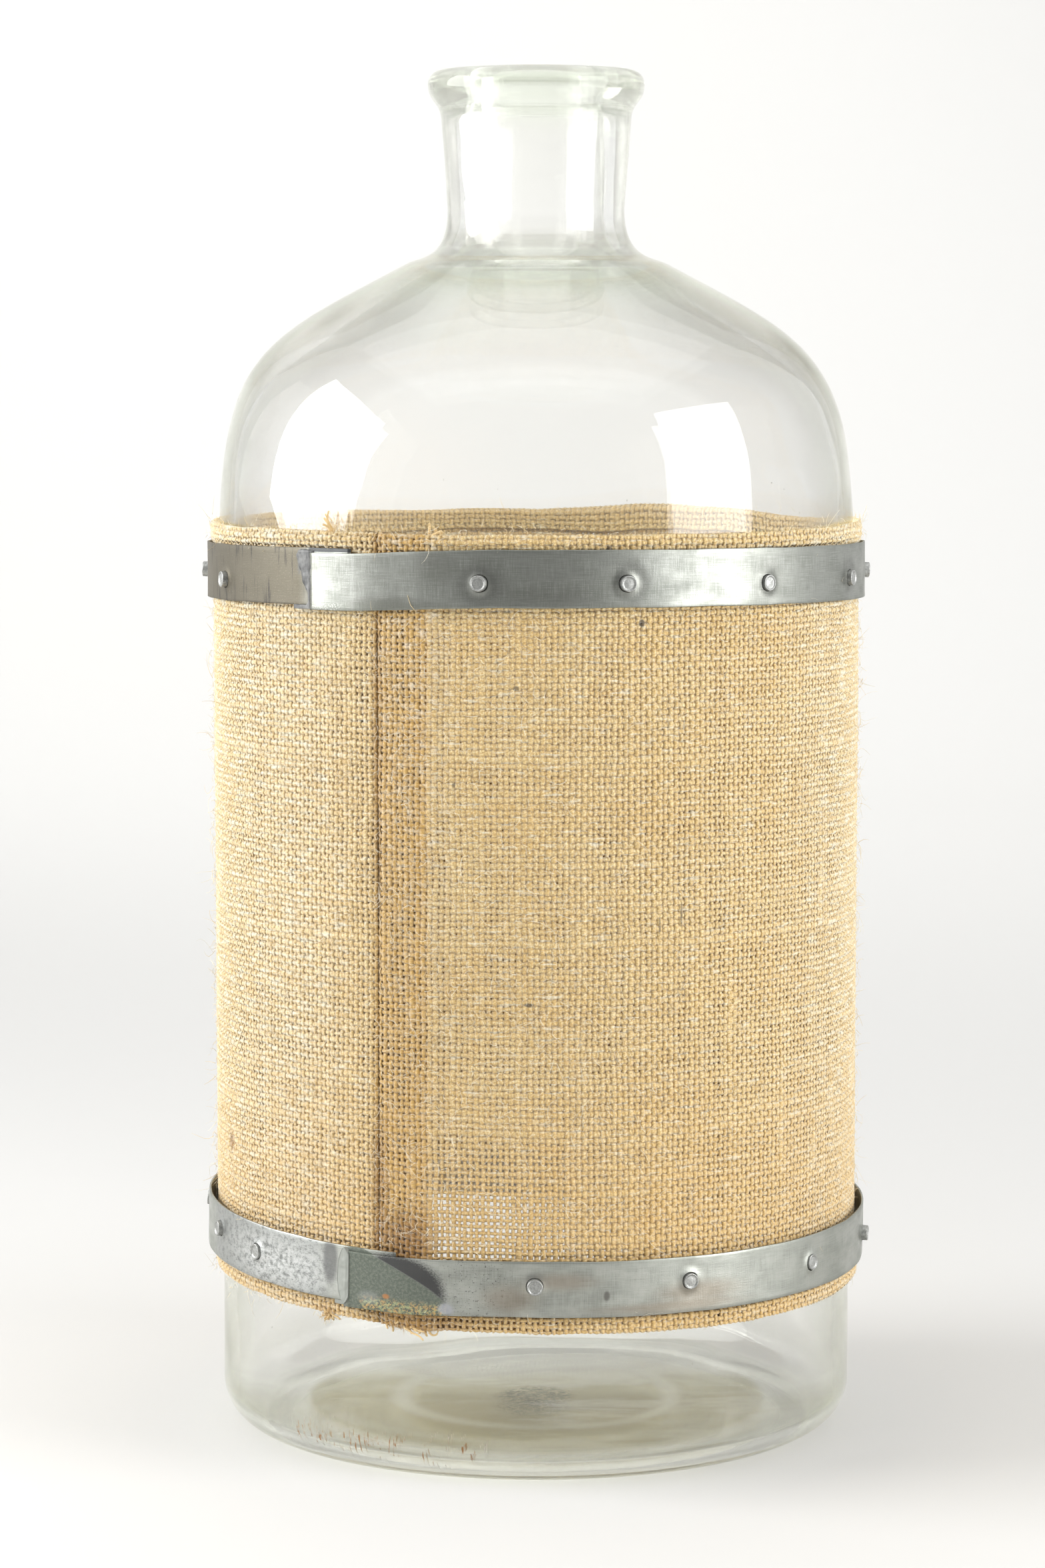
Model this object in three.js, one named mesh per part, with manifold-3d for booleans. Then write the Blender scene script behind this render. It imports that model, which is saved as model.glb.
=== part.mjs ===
// A glass carboy in its travelling coat: a thick blown bottle, a sewn burlap sleeve round its
// straight body, and two zinc strips that are punched, lapped, soldered and riveted round the sleeve.
// Millimetres, +Z up. The origin is the middle of the ring that the bottle stands on, and the bottle's
// axis is Z. The sleeve's seam and both laps are on the front left, and the front faces -Y.
import * as THREE from "three";
import { mergeVertices } from "three/addons/utils/BufferGeometryUtils.js";
import Module from "manifold-3d";

const wasm = await Module();
wasm.setup();

// Driving dimensions
const RING_SEGMENTS = 60; // every ring has the same facets, so neighbours nest with an even gap
const GAP = 0.3; // between pieces that touch

const BOTTLE = {
  radius: 125,
  height: 533.5,
  wall: 6,
  heelRadius: 17,
  footWidth: 10, // the flat ring that the bottle stands on
  puntHeight: 2, // how far the base is pushed up in the middle
  puntCrownRadius: 50, // the push-up is nearly level inside this
  puntSkirtRadius: 75, // and has come down to the foot outside this
  floorThickness: 5,
  heelThickening: 9, // the inside corner is rounded this much tighter than the heel
  floorLift: 2, // the floor is this much thicker again under that corner
  shoulderZ: 342, // where the straight body ends
  shoulderRise: 82, // how far up the body's direction is held as it turns into the shoulder
  shoulderCrown: [16, 86], // the shoulder's fullest place, in from the radius and up from its start
  neckRootZ: 458.6, // where the shoulder's slope turns up into the neck
  neckRootRadius: 51,
  neckRootRun: [5, 2.7], // how far the slope's direction is held as it turns up, in and up
  throatRadius: 34.6, // the neck's narrowest place, outside
  throatZ: 480,
  throatRun: 20,
  neckTopRadius: 37.4,
  neckTopZ: 515,
  neckFlare: 0.8,
  lipRadius: 42.5,
  lipWidestZ: 528,
  lipRun: 7, // how far the lip's underside is held upright at both its ends
  lipFlatRadius: 37,
  lipRounding: 3,
  mouthRounding: 4.5,
  boreRadius: 26.3,
  boreEndZ: 478, // where the bore starts to open into the shoulder
  boreRun: 23.4,
  rootInset: [3.5, 7.3], // from the neck root's outside corner to its inside corner, in and down
  innerRootRun: [7.8, 3.9],
  innerShoulder: [19.5, 78.5], // the inside's fullest place, as for the outside
  innerRise: 77,
};

const SLEEVE = {
  bottomZ: 60.8,
  topZ: 358.7,
  outerRadius: 127.5,
  hemRadius: 128.9,
  pressedRadius: 127, // under the bands
  seamAngle: -27.7,
};

const STRIP_WIDTH = 22;
const STRIP_THICKNESS = 0.85;
const LAP_DROP = 1.8; // how far the strip's two ends miss each other
const LAP_SINK = 0.3; // how far the lapped end goes into the strip under it, to be one piece

// Angles are in degrees round the axis from the front, positive towards +X. A stud is given by its
// angle and by how far it is above the middle of the strip.
const BANDS = [
  {
    name: "top_band",
    outerRadius: 129.4,
    middleZ: 339.3,
    backUp: -0.9, // degrees that the band is tipped
    rightDown: 0,
    lapFrom: -40.5,
    lapTo: -32.3,
    studReach: 3.9,
    studs: [
      [-95, -1],
      [-66.6, -2.8],
      [-9.6, -1.6],
      [15, -1.7],
      [41.6, -2.4],
      [67.4, -2.2],
      [95, -1],
      [123.3, -1.5],
      [151.7, -1.2],
      [180, -1.6],
      [208.3, -1.3],
      [236.7, -1.5],
    ],
  },
  {
    name: "bottom_band",
    outerRadius: 130.5,
    middleZ: 80.2,
    backUp: 1.2,
    rightDown: 1,
    lapFrom: -33.5,
    lapTo: -24,
    studReach: 3.5,
    studs: [
      [-97, 1],
      [-70.3, 1.8],
      [-55, 0],
      [-0.4, 1.2],
      [26.2, 1.5],
      [53.5, 0],
      [80.1, -0.4],
      [110, 0.5],
      [140, 0],
      [169.5, 0.8],
      [199, 0.3],
      [231, 0.6],
    ],
  },
];

const RIVET = { shankRadius: 3.05, headRadius: 4.5, headThickness: 0.8, bevel: 0.45, segments: 12 };
const HEAD_SETBACK = 0.5; // how far the rivet's head is behind the strip
const PUNCH = { radius: RIVET.shankRadius + GAP, length: 8 };
const SOLDER = { from: 3.6, to: 0.15, proud: 0.5, endInset: 1 }; // degrees past the lapped end, then mm
const TWINE = { radius: 0.4, wave: 0.25, stitch: 29, sides: 6, endInset: 4, standOff: 0.3, slot: 6 };

// Materials
const finish = (color, roughness, metalness, extra = {}) =>
  new THREE.MeshStandardMaterial({ color, roughness, metalness, ...extra });
const MATERIALS = {
  glass: () => finish("#dfe8e2", 0.05, 0, { transparent: true, opacity: 0.4 }),
  burlap: () => finish("#c9a56c", 0.95, 0),
  twine: () => finish("#b8955c", 0.9, 0),
  zinc: () => finish("#b9bbb8", 0.42, 0.9),
  solder: () => finish("#9a9c98", 0.5, 0.85),
  rivet: () => finish("#c4c4bf", 0.35, 0.95),
};

// Profiles are runs of [radius, height] points, made from straight, curved and round stretches.
const curve = (from, pull1, pull2, to, steps) =>
  new THREE.CubicBezierCurve(...[from, pull1, pull2, to].map((p) => new THREE.Vector2(...p)))
    .getPoints(steps)
    .map((p) => [p.x, p.y]);

const arc = (x, y, radius, fromDegrees, toDegrees, steps) =>
  Array.from({ length: steps + 1 }, (_, i) => {
    const a = THREE.MathUtils.degToRad(fromDegrees + ((toDegrees - fromDegrees) * i) / steps);
    return [x + radius * Math.cos(a), y + radius * Math.sin(a)];
  });

// Neighbouring stretches share an end, which is kept once.
function joinStretches(...stretches) {
  const points = stretches.flat().map(([x, y]) => new THREE.Vector2(x, y));
  return points.filter((p, i) => i === 0 || p.distanceTo(points[i - 1]) > 1e-4);
}

// A body of revolution round Z. The profile starts and ends on the axis, or closes on itself.
function turned(profile, segments = RING_SEGMENTS) {
  return new THREE.LatheGeometry(profile, segments).rotateX(Math.PI / 2);
}

function rectangleRing(innerRadius, outerRadius, lowZ, highZ) {
  const corners = [
    [innerRadius, lowZ],
    [outerRadius, lowZ],
    [outerRadius, highZ],
    [innerRadius, highZ],
    [innerRadius, lowZ],
  ];
  return turned(corners.map(([x, y]) => new THREE.Vector2(x, y)));
}

// The direction at an angle round the axis, measured from the front.
function outward(degrees) {
  const a = THREE.MathUtils.degToRad(degrees);
  return new THREE.Vector3(Math.sin(a), -Math.cos(a), 0);
}

// Booleans
function toSolid(geometry) {
  const bare = geometry.index ? geometry.toNonIndexed() : geometry.clone();
  bare.deleteAttribute("normal");
  bare.deleteAttribute("uv");
  const merged = mergeVertices(bare, 1e-4);
  const mesh = new wasm.Mesh({
    numProp: 3,
    vertProperties: new Float32Array(merged.attributes.position.array),
    triVerts: new Uint32Array(merged.index.array),
  });
  return new wasm.Manifold(mesh);
}

function toGeometry(solid) {
  const mesh = solid.getMesh();
  const geometry = new THREE.BufferGeometry();
  geometry.setAttribute("position", new THREE.BufferAttribute(mesh.vertProperties, 3));
  geometry.setIndex(new THREE.BufferAttribute(mesh.triVerts, 1));
  geometry.computeVertexNormals();
  return geometry;
}

const group = new THREE.Group();

function addPart(name, geometry, material, parent = group) {
  const mesh = new THREE.Mesh(geometry, material());
  mesh.name = name;
  parent.add(mesh);
  return mesh;
}

// The bottle: one wall of glass, open at the mouth, with a pushed-up base.
function bottleProfile() {
  const b = BOTTLE;
  const inside = b.radius - b.wall;
  const heelX = b.radius - b.heelRadius;
  const footX = heelX - b.footWidth;
  const crownZ = b.puntHeight + b.floorThickness;
  const floorZ = b.floorThickness + b.floorLift;
  const cornerRadius = b.heelRadius - b.heelThickening;
  const mouthX = b.boreRadius + b.mouthRounding;
  const [crownIn, crownUp] = b.shoulderCrown;
  const [rootRunIn, rootRunUp] = b.neckRootRun;
  const [insetIn, insetDown] = b.rootInset;
  const [innerRunIn, innerRunUp] = b.innerRootRun;
  const [innerIn, innerUp] = b.innerShoulder;
  const body = [b.radius, b.shoulderZ];
  const root = [b.neckRootRadius, b.neckRootZ];
  const throat = [b.throatRadius, b.throatZ];
  const neckTop = [b.neckTopRadius, b.neckTopZ];
  const lip = [b.lipRadius, b.lipWidestZ];
  const lipFlat = [b.lipFlatRadius, b.height];
  const innerRoot = [b.neckRootRadius - insetIn, b.neckRootZ - insetDown];
  const innerBody = [inside, b.shoulderZ];

  const base = curve(
    [0, b.puntHeight],
    [b.puntCrownRadius, b.puntHeight],
    [b.puntSkirtRadius, 0],
    [footX, 0],
    4,
  );
  const heel = arc(heelX, b.heelRadius, b.heelRadius, -90, 0, 5);
  const shoulder = curve(
    body,
    [b.radius, b.shoulderZ + b.shoulderRise],
    [b.radius - crownIn, b.shoulderZ + crownUp],
    root,
    9,
  );
  const neckRoot = curve(
    root,
    [b.neckRootRadius - rootRunIn, b.neckRootZ + rootRunUp],
    [b.throatRadius, b.throatZ - b.throatRun],
    throat,
    4,
  );
  const underLip = curve(
    neckTop,
    [b.neckTopRadius + b.neckFlare, b.neckTopZ + b.lipRun],
    [b.lipRadius, b.lipWidestZ - b.lipRun],
    lip,
    3,
  );
  const overLip = curve(
    lip,
    [b.lipRadius, b.lipWidestZ + b.lipRounding],
    [b.lipFlatRadius + b.lipRounding, b.height],
    lipFlat,
    3,
  );
  const mouth = arc(mouthX, b.height - b.mouthRounding, b.mouthRounding, 90, 180, 2);
  const innerNeckRoot = curve(
    [b.boreRadius, b.boreEndZ],
    [b.boreRadius, b.boreEndZ - b.boreRun],
    [innerRoot[0] - innerRunIn, innerRoot[1] + innerRunUp],
    innerRoot,
    4,
  );
  const innerShoulder = curve(
    innerRoot,
    [b.radius - innerIn, b.shoulderZ + innerUp],
    [inside, b.shoulderZ + b.innerRise],
    innerBody,
    7,
  );
  const corner = arc(inside - cornerRadius, floorZ + cornerRadius, cornerRadius, 0, -90, 3);
  const floor = curve(
    [inside - cornerRadius, floorZ],
    [b.puntSkirtRadius, floorZ],
    [b.puntCrownRadius, crownZ],
    [0, crownZ],
    3,
  );
  return joinStretches(
    base,
    heel,
    shoulder,
    neckRoot,
    underLip,
    overLip,
    mouth,
    innerNeckRoot,
    innerShoulder,
    corner,
    floor,
  );
}

addPart("glass_bottle", turned(bottleProfile()), MATERIALS.glass);

// The sleeve: burlap folded to a hem at both ends and pressed flat under the bands.
function sleeveProfile() {
  const s = SLEEVE;
  const inner = BOTTLE.radius + GAP + 0.05;
  const [top, bottom] = BANDS;
  const press = STRIP_WIDTH / 2 + 1.5;
  return joinStretches([
    [inner, s.bottomZ],
    [s.hemRadius - 1, s.bottomZ],
    [s.hemRadius, s.bottomZ + 1.4],
    [s.hemRadius, bottom.middleZ - press - 1.6],
    [s.pressedRadius, bottom.middleZ - press],
    [s.pressedRadius, bottom.middleZ + press],
    [s.outerRadius, bottom.middleZ + press + 6],
    [s.outerRadius, top.middleZ - press - 6],
    [s.pressedRadius, top.middleZ - press],
    [s.pressedRadius, top.middleZ + press - 0.8],
    [s.hemRadius - 0.4, top.middleZ + press + 1],
    [s.hemRadius - 0.4, s.topZ - 1.4],
    [s.hemRadius - 1.4, s.topZ],
    [inner, s.topZ],
    [inner, s.bottomZ],
  ]);
}

// The seam closes the sleeve into a tube. Its twine lies in a fold on the glass side.
const twineRadius = BOTTLE.radius + GAP + TWINE.standOff + TWINE.radius;
const seamLow = SLEEVE.bottomZ + TWINE.endInset;
const seamHigh = SLEEVE.topZ - TWINE.endInset;

function seamFold() {
  const width = 2 * (TWINE.radius + TWINE.wave + GAP);
  const outer = twineRadius + TWINE.radius + GAP;
  const fold = new THREE.BoxGeometry(width, TWINE.slot, seamHigh - seamLow + 2);
  fold.translate(0, -outer + TWINE.slot / 2, (seamLow + seamHigh) / 2);
  return fold.rotateZ(THREE.MathUtils.degToRad(SLEEVE.seamAngle));
}

function twineGeometry() {
  const along = outward(SLEEVE.seamAngle + 90);
  const middle = outward(SLEEVE.seamAngle).multiplyScalar(twineRadius);
  const halves = 2 * Math.round((seamHigh - seamLow) / TWINE.stitch);
  const points = Array.from({ length: halves + 1 }, (_, i) => {
    const z = seamLow + ((seamHigh - seamLow) * i) / halves;
    const side = i % 2 ? TWINE.wave : -TWINE.wave;
    return middle.clone().addScaledVector(along, side).setZ(z);
  });
  const section = new THREE.Shape(
    Array.from({ length: TWINE.sides }, (_, i) => {
      const a = (2 * Math.PI * i) / TWINE.sides;
      return new THREE.Vector2(TWINE.radius * Math.cos(a), TWINE.radius * Math.sin(a));
    }),
  );
  return new THREE.ExtrudeGeometry(section, {
    extrudePath: new THREE.CatmullRomCurve3(points),
    steps: 2 * halves,
  });
}

const sleeve = toSolid(turned(sleeveProfile())).subtract(toSolid(seamFold()));
addPart("burlap_sleeve", toGeometry(sleeve), MATERIALS.burlap);
addPart("seam_twine", twineGeometry(), MATERIALS.twine);

// A block that follows a ring from one angle to another, used for the lapped end and its solder.
function ringBlock(innerRadius, outerRadius, lowZ, highZ, fromDegrees, toDegrees) {
  const steps = 4;
  const outline = new THREE.Shape();
  const corner = (radius, degrees) => outward(degrees).multiplyScalar(radius);
  for (let i = 0; i <= steps; i++) {
    const p = corner(outerRadius, fromDegrees + ((toDegrees - fromDegrees) * i) / steps);
    if (i === 0) outline.moveTo(p.x, p.y);
    else outline.lineTo(p.x, p.y);
  }
  for (let i = steps; i >= 0; i--) {
    const p = corner(innerRadius, fromDegrees + ((toDegrees - fromDegrees) * i) / steps);
    outline.lineTo(p.x, p.y);
  }
  outline.closePath();
  const block = new THREE.ExtrudeGeometry(outline, { depth: highZ - lowZ, bevelEnabled: false });
  return block.translate(0, 0, lowZ);
}

// A rivet's own axis is +Z, and it is turned to stand out of the band. The factory head is flat
// against the cloth, and the shank comes out through the punched hole with a bevelled end.
function rivetGeometry(length) {
  const { shankRadius, headRadius, headThickness, bevel, segments } = RIVET;
  const profile = joinStretches([
    [0, 0],
    [headRadius, 0],
    [headRadius, headThickness],
    [shankRadius, headThickness],
    [shankRadius, length - bevel],
    [shankRadius - bevel, length],
    [0, length],
  ]);
  return turned(profile, segments);
}

// One band: a strip bent to a ring with its end lapped over its start, its solder and its rivets.
// Everything is made round the band's own middle, and the group puts it in place.
function addBand(band) {
  const half = STRIP_WIDTH / 2;
  const outer = band.outerRadius;
  const inner = outer - STRIP_THICKNESS;
  const place = new THREE.Group();
  place.position.z = band.middleZ;
  place.rotation.x = THREE.MathUtils.degToRad(band.backUp);
  place.rotation.y = THREE.MathUtils.degToRad(band.rightDown);
  group.add(place);

  const lapLow = -half - LAP_DROP;
  const lapHigh = half - LAP_DROP;
  const lapOuter = outer + STRIP_THICKNESS;
  const lap = ringBlock(outer - LAP_SINK, lapOuter, lapLow, lapHigh, band.lapFrom, band.lapTo);
  const punch = new THREE.CylinderGeometry(PUNCH.radius, PUNCH.radius, PUNCH.length, RIVET.segments);
  let strip = toSolid(rectangleRing(inner, outer, -half, half)).add(toSolid(lap));
  for (const [angle, rise] of band.studs) {
    const hole = punch.clone().translate(0, -outer, rise).rotateZ(THREE.MathUtils.degToRad(angle));
    strip = strip.subtract(toSolid(hole));
  }
  addPart(band.name, toGeometry(strip), MATERIALS.zinc, place);

  // The bead runs down the lapped end and stands a little proud of it.
  const bead = ringBlock(
    outer + GAP,
    lapOuter + SOLDER.proud,
    lapLow + SOLDER.endInset,
    lapHigh - SOLDER.endInset,
    band.lapFrom - SOLDER.from,
    band.lapFrom - SOLDER.to,
  );
  addPart(band.name + "_solder", bead, MATERIALS.solder, place);

  const headBack = inner - RIVET.headThickness - HEAD_SETBACK;
  const rivet = rivetGeometry(outer + band.studReach - headBack);
  band.studs.forEach(([angle, rise], i) => {
    const number = String(i + 1).padStart(2, "0");
    const mesh = addPart(band.name.replace("band", "rivet_") + number, rivet, MATERIALS.rivet, place);
    const direction = outward(angle);
    mesh.position.copy(direction).multiplyScalar(headBack).setZ(rise);
    mesh.quaternion.setFromUnitVectors(new THREE.Vector3(0, 0, 1), direction);
  });
}

BANDS.forEach(addBand);

export default group;
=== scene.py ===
"""A glass carboy in its burlap sleeve, held by two riveted and soldered zinc strips.

Everything is in metres, +Z up, in the CAD model's own frame, and the front faces -Y. Angles go round
the bottle's axis from the front, positive towards +X.
"""

import math

import bpy
import numpy as np
from mathutils import Euler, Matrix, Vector


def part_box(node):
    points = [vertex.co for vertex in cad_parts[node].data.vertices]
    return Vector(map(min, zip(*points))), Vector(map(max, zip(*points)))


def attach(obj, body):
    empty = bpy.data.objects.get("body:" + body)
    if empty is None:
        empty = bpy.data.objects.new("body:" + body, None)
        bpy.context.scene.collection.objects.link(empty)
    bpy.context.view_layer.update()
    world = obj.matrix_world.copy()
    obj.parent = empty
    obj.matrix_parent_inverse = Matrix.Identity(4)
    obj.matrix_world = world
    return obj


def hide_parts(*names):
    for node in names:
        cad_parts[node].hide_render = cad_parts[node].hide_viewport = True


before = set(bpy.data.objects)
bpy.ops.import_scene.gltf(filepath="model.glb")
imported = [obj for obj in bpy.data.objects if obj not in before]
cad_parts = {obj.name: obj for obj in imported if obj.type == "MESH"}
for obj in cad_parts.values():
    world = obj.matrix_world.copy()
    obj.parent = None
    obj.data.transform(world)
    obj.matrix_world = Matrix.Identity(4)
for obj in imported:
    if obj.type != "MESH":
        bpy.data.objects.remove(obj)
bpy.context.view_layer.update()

MM = 0.001


# ---------------------------------------------------------------- sizes, from the CAD frame

BOTTLE_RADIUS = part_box("glass_bottle")[1].x
BOTTLE_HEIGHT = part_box("glass_bottle")[1].z
SLEEVE_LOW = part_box("burlap_sleeve")[0].z
SLEEVE_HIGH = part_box("burlap_sleeve")[1].z
STRIP_WIDTH = 22 * MM
STRIP_THICKNESS = 0.85 * MM
LAP_DROP = 1.8 * MM  # how much lower a strip's outer end hangs than the rest
MM_PER_DEGREE = 2.2  # round the bottle and the cloth
STRIP_MM_PER_DEGREE = 2.27


def middle_of(node):
    low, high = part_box(node)
    return (low + high) / 2


def angle_of(point):
    return math.atan2(point.x, -point.y)


SEAM_ANGLE = angle_of(middle_of("seam_twine"))


class Band:
    """Where one strip lies: its middle height, its tilts, its outer radius and its two lapped ends.

    The tilts are in degrees, and the lap is where its two ends are, in degrees round from the front.
    """

    def __init__(self, name, back_up, right_down, outer_end, inner_end):
        self.name = name
        self.turn = np.array(Euler((math.radians(back_up), math.radians(right_down), 0)).to_matrix())
        low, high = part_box(name)
        self.radius = (high.y - low.y) / 2 / math.hypot(1, STRIP_WIDTH / (high.y - low.y) * self.turn[2, 1])
        rim = self.radius * math.hypot(self.turn[2, 0], self.turn[2, 1])
        self.height = high.z - rim - STRIP_WIDTH / 2 * self.turn[2, 2]
        self.outer_end = math.radians(outer_end)
        self.inner_end = math.radians(inner_end)
        self.nodes = sorted(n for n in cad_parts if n.startswith(name.replace("band", "rivet")))
        self.studs = []
        for n in self.nodes:
            x, y, z = self.turn.T @ (np.array(middle_of(n)) - np.array([0, 0, self.height]))
            self.studs.append((math.atan2(x, -y), z, math.hypot(x, y)))

    def holes(self):
        """Each stud's distance along the strip from its inner end and its rise, in order."""
        found = sorted((((self.inner_end - a) % (2 * math.pi)) * self.radius, z) for a, z, _ in self.studs)
        return [t for t, _ in found], [z for _, z in found]

    def place(self, points):
        """Points round the band's own middle, put where the band is."""
        return points @ self.turn.T + np.array([0, 0, self.height])

    def rise_at(self, angle):
        """How far the band's middle is above its height, at an angle round the bottle."""
        radius = self.radius
        return self.turn[2, 0] * radius * np.sin(angle) - self.turn[2, 1] * radius * np.cos(angle)


TOP = Band("top_band", -0.9, 0, -40.5, -32.3)
BOTTOM = Band("bottom_band", 1.2, 1, -33.5, -24)


# ---------------------------------------------------------------- helpers

def smoothstep(x, low, high):
    t = np.clip((x - low) / (high - low), 0, 1)
    return t * t * (3 - 2 * t)


NOISE_CELLS = 64


def smooth_noise(x, y, cell, seed):
    """Noise from -1 to 1 with about one bump to a cell. It repeats after NOISE_CELLS cells."""
    table = np.random.default_rng(seed).uniform(-1, 1, (NOISE_CELLS, NOISE_CELLS))
    x, y = np.broadcast_arrays(np.asarray(x) / cell, np.asarray(y) / cell)
    i, j = np.floor(x).astype(int), np.floor(y).astype(int)
    s, t = smoothstep(x - i, 0, 1), smoothstep(y - j, 0, 1)
    i, j, i1, j1 = (a % NOISE_CELLS for a in (i, j, i + 1, j + 1))
    low = table[i, j] * (1 - s) + table[i1, j] * s
    high = table[i, j1] * (1 - s) + table[i1, j1] * s
    return low * (1 - t) + high * t


def round_axis(radius, angle, height):
    """Points at a radius, an angle round from the front, and a height."""
    return np.stack([radius * np.sin(angle), -radius * np.cos(angle), height], -1)


def bump_at(x, middle, width):
    """A smooth hump: 1 in the middle, and gone two widths away."""
    return np.exp(-(((x - middle) / width) ** 2))


def bezier(p0, p1, p2, p3, steps):
    t = np.linspace(0, 1, steps + 1)[:, None]
    p0, p1, p2, p3 = (np.array(p) * MM for p in (p0, p1, p2, p3))
    return (1 - t) ** 3 * p0 + 3 * (1 - t) ** 2 * t * p1 + 3 * (1 - t) * t**2 * p2 + t**3 * p3


def arc(x, y, radius, start, end, steps):
    a = np.radians(np.linspace(start, end, steps + 1))
    return np.stack([x + radius * np.cos(a), y + radius * np.sin(a)], 1) * MM


def line(start, end, steps):
    return np.linspace(start, end, steps + 1) * MM


def join_path(*stretches):
    path = np.concatenate(stretches)
    keep = np.r_[True, np.linalg.norm(np.diff(path, axis=0), axis=1) > 1e-7]
    return path[keep]


def add_object(name, data):
    made = bpy.data.objects.new(name, data)
    bpy.context.scene.collection.objects.link(made)
    return made


def piece(name, points, faces, material, replaces=(), attributes=None):
    """A mesh object that rides on the part. faces is a list of arrays of corner numbers."""
    mesh = bpy.data.meshes.new(name)
    mesh.vertices.add(len(points))
    mesh.vertices.foreach_set("co", np.ascontiguousarray(points, np.float32).ravel())
    corners = np.concatenate([f.ravel() for f in faces]).astype(np.int32)
    sizes = np.concatenate([np.full(len(f), f.shape[1]) for f in faces])
    mesh.loops.add(len(corners))
    mesh.loops.foreach_set("vertex_index", corners)
    mesh.polygons.add(len(sizes))
    starts = np.r_[0, np.cumsum(sizes)[:-1]].astype(np.int32)
    mesh.polygons.foreach_set("loop_start", starts)
    mesh.polygons.foreach_set("use_smooth", np.full(len(sizes), True))
    mesh.update(calc_edges=True)
    for key, values in (attributes or {}).items():
        layer = mesh.attributes.new(key, "FLOAT", "POINT")
        layer.data.foreach_set("value", np.ascontiguousarray(values, np.float32).ravel())
    mesh.materials.append(material)
    made = add_object(name, mesh)
    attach(made, "root")
    if replaces:
        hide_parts(*replaces)
    return made


def revolve(profile, segments, bulge=None):
    """A closed body of revolution whose profile starts and ends on the axis."""
    ring = profile[1:-1]
    angles = np.linspace(0, 2 * math.pi, segments, endpoint=False)
    radius = np.repeat(ring[:, :1], segments, 1)
    if bulge is not None:
        radius = radius + bulge(angles[None, :], ring[:, 1:])
    height = np.repeat(ring[:, 1:], segments, 1)
    points = round_axis(radius, angles, height).reshape(-1, 3)
    rows, columns = len(ring), segments
    first, last = len(points), len(points) + 1
    points = np.concatenate([points, [[0, 0, profile[0, 1]], [0, 0, profile[-1, 1]]]])
    i, j = np.meshgrid(np.arange(rows - 1), np.arange(columns), indexing="ij")
    k = (j + 1) % columns
    quads = np.stack([i * columns + j, i * columns + k, (i + 1) * columns + k, (i + 1) * columns + j], -1)
    j = np.arange(columns)
    k = (j + 1) % columns
    start = np.stack([np.full(columns, first), k, j], 1)
    end = np.stack([np.full(columns, last), (rows - 1) * columns + j, (rows - 1) * columns + k], 1)
    return points, [quads.reshape(-1, 4), start, end]


def tubes(paths, radii, sides=3):
    """Tapered tubes along many paths at once. paths is (tubes, steps, 3) and radii (tubes, steps)."""
    count, steps, _ = paths.shape
    along = np.gradient(paths, axis=1)
    along /= np.linalg.norm(along, axis=2, keepdims=True) + 1e-12
    up = np.where(np.abs(along[..., 2:]) < 0.9, [0.0, 0.0, 1.0], [1.0, 0.0, 0.0])
    side = np.cross(along, up)
    side /= np.linalg.norm(side, axis=2, keepdims=True)
    other = np.cross(along, side)
    turn = np.linspace(0, 2 * math.pi, sides, endpoint=False)
    offsets = side[:, :, None] * np.cos(turn)[:, None] + other[:, :, None] * np.sin(turn)[:, None]
    points = paths[:, :, None] + offsets * radii[:, :, None, None]
    return points.reshape(-1, 3), tube_faces(count, steps, sides)


def tube_faces(count, steps, sides):
    """The faces of many closed tubes whose points run tube by tube, ring by ring."""
    n, i, j = np.meshgrid(np.arange(count), np.arange(steps - 1), np.arange(sides), indexing="ij")
    k = (j + 1) % sides
    a = (n * steps + i) * sides
    b = a + sides
    quads = np.stack([a + j, b + j, b + k, a + k], -1).reshape(-1, 4)
    first = np.arange(count)[:, None] * steps * sides + np.arange(sides)
    last = first + (steps - 1) * sides
    return [quads, first, last[:, ::-1]]


# ---------------------------------------------------------------- shader helpers
#
# A node goes into the graph that its inputs come from, so only the first ones are told their tree.

def new_material(name):
    material = bpy.data.materials.new(name)
    material.use_nodes = True
    tree = material.node_tree
    tree.nodes.clear()
    output = tree.nodes.new("ShaderNodeOutputMaterial")
    surface = tree.nodes.new("ShaderNodeBsdfPrincipled")
    tree.links.new(surface.outputs[0], output.inputs["Surface"])
    return material, tree, surface, output


def put(socket, value):
    if isinstance(value, bpy.types.NodeSocket):
        socket.id_data.links.new(value, socket)
    else:
        socket.default_value = value


def fill(shader, **values):
    """A shader's inputs, plain or linked, each named with _ for a space."""
    for key, value in values.items():
        put(shader.inputs[key.replace("_", " ")], value)


def node(tree, kind, out=0, settings=None, **inputs):
    """A node's output. An input's name has _ for each space, and i with a number names it by place.

    With no tree, the node goes into the graph that its first linked input comes from.
    """
    if tree is None:
        tree = next(v.id_data for v in inputs.values() if isinstance(v, bpy.types.NodeSocket))
    made = tree.nodes.new("ShaderNode" + kind)
    for key, value in (settings or {}).items():
        setattr(made, key, value)
    for key, value in inputs.items():
        key = int(key[1:]) if key[0] == "i" and key[1:].isdigit() else key.replace("_", " ")
        put(made.inputs[key], value)
    return made.outputs[out]


def mix(factor, a, b):
    return node(None, "Mix", 2, {"data_type": "RGBA"}, i0=factor, i6=a, i7=b)


def mix_value(factor, a, b):
    return node(None, "Mix", 0, {"data_type": "FLOAT"}, i0=factor, i2=a, i3=b)


def lay_over(base, where, tint, strength=None):
    """The base colour with another one laid over it: where is 0 to 1, and strength thins it."""
    return mix(where if strength is None else times(where, strength), base, tint)


def math_node(operation, a, b=0.0):
    return node(None, "Math", 0, {"operation": operation}, i0=a, i1=b)


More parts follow.
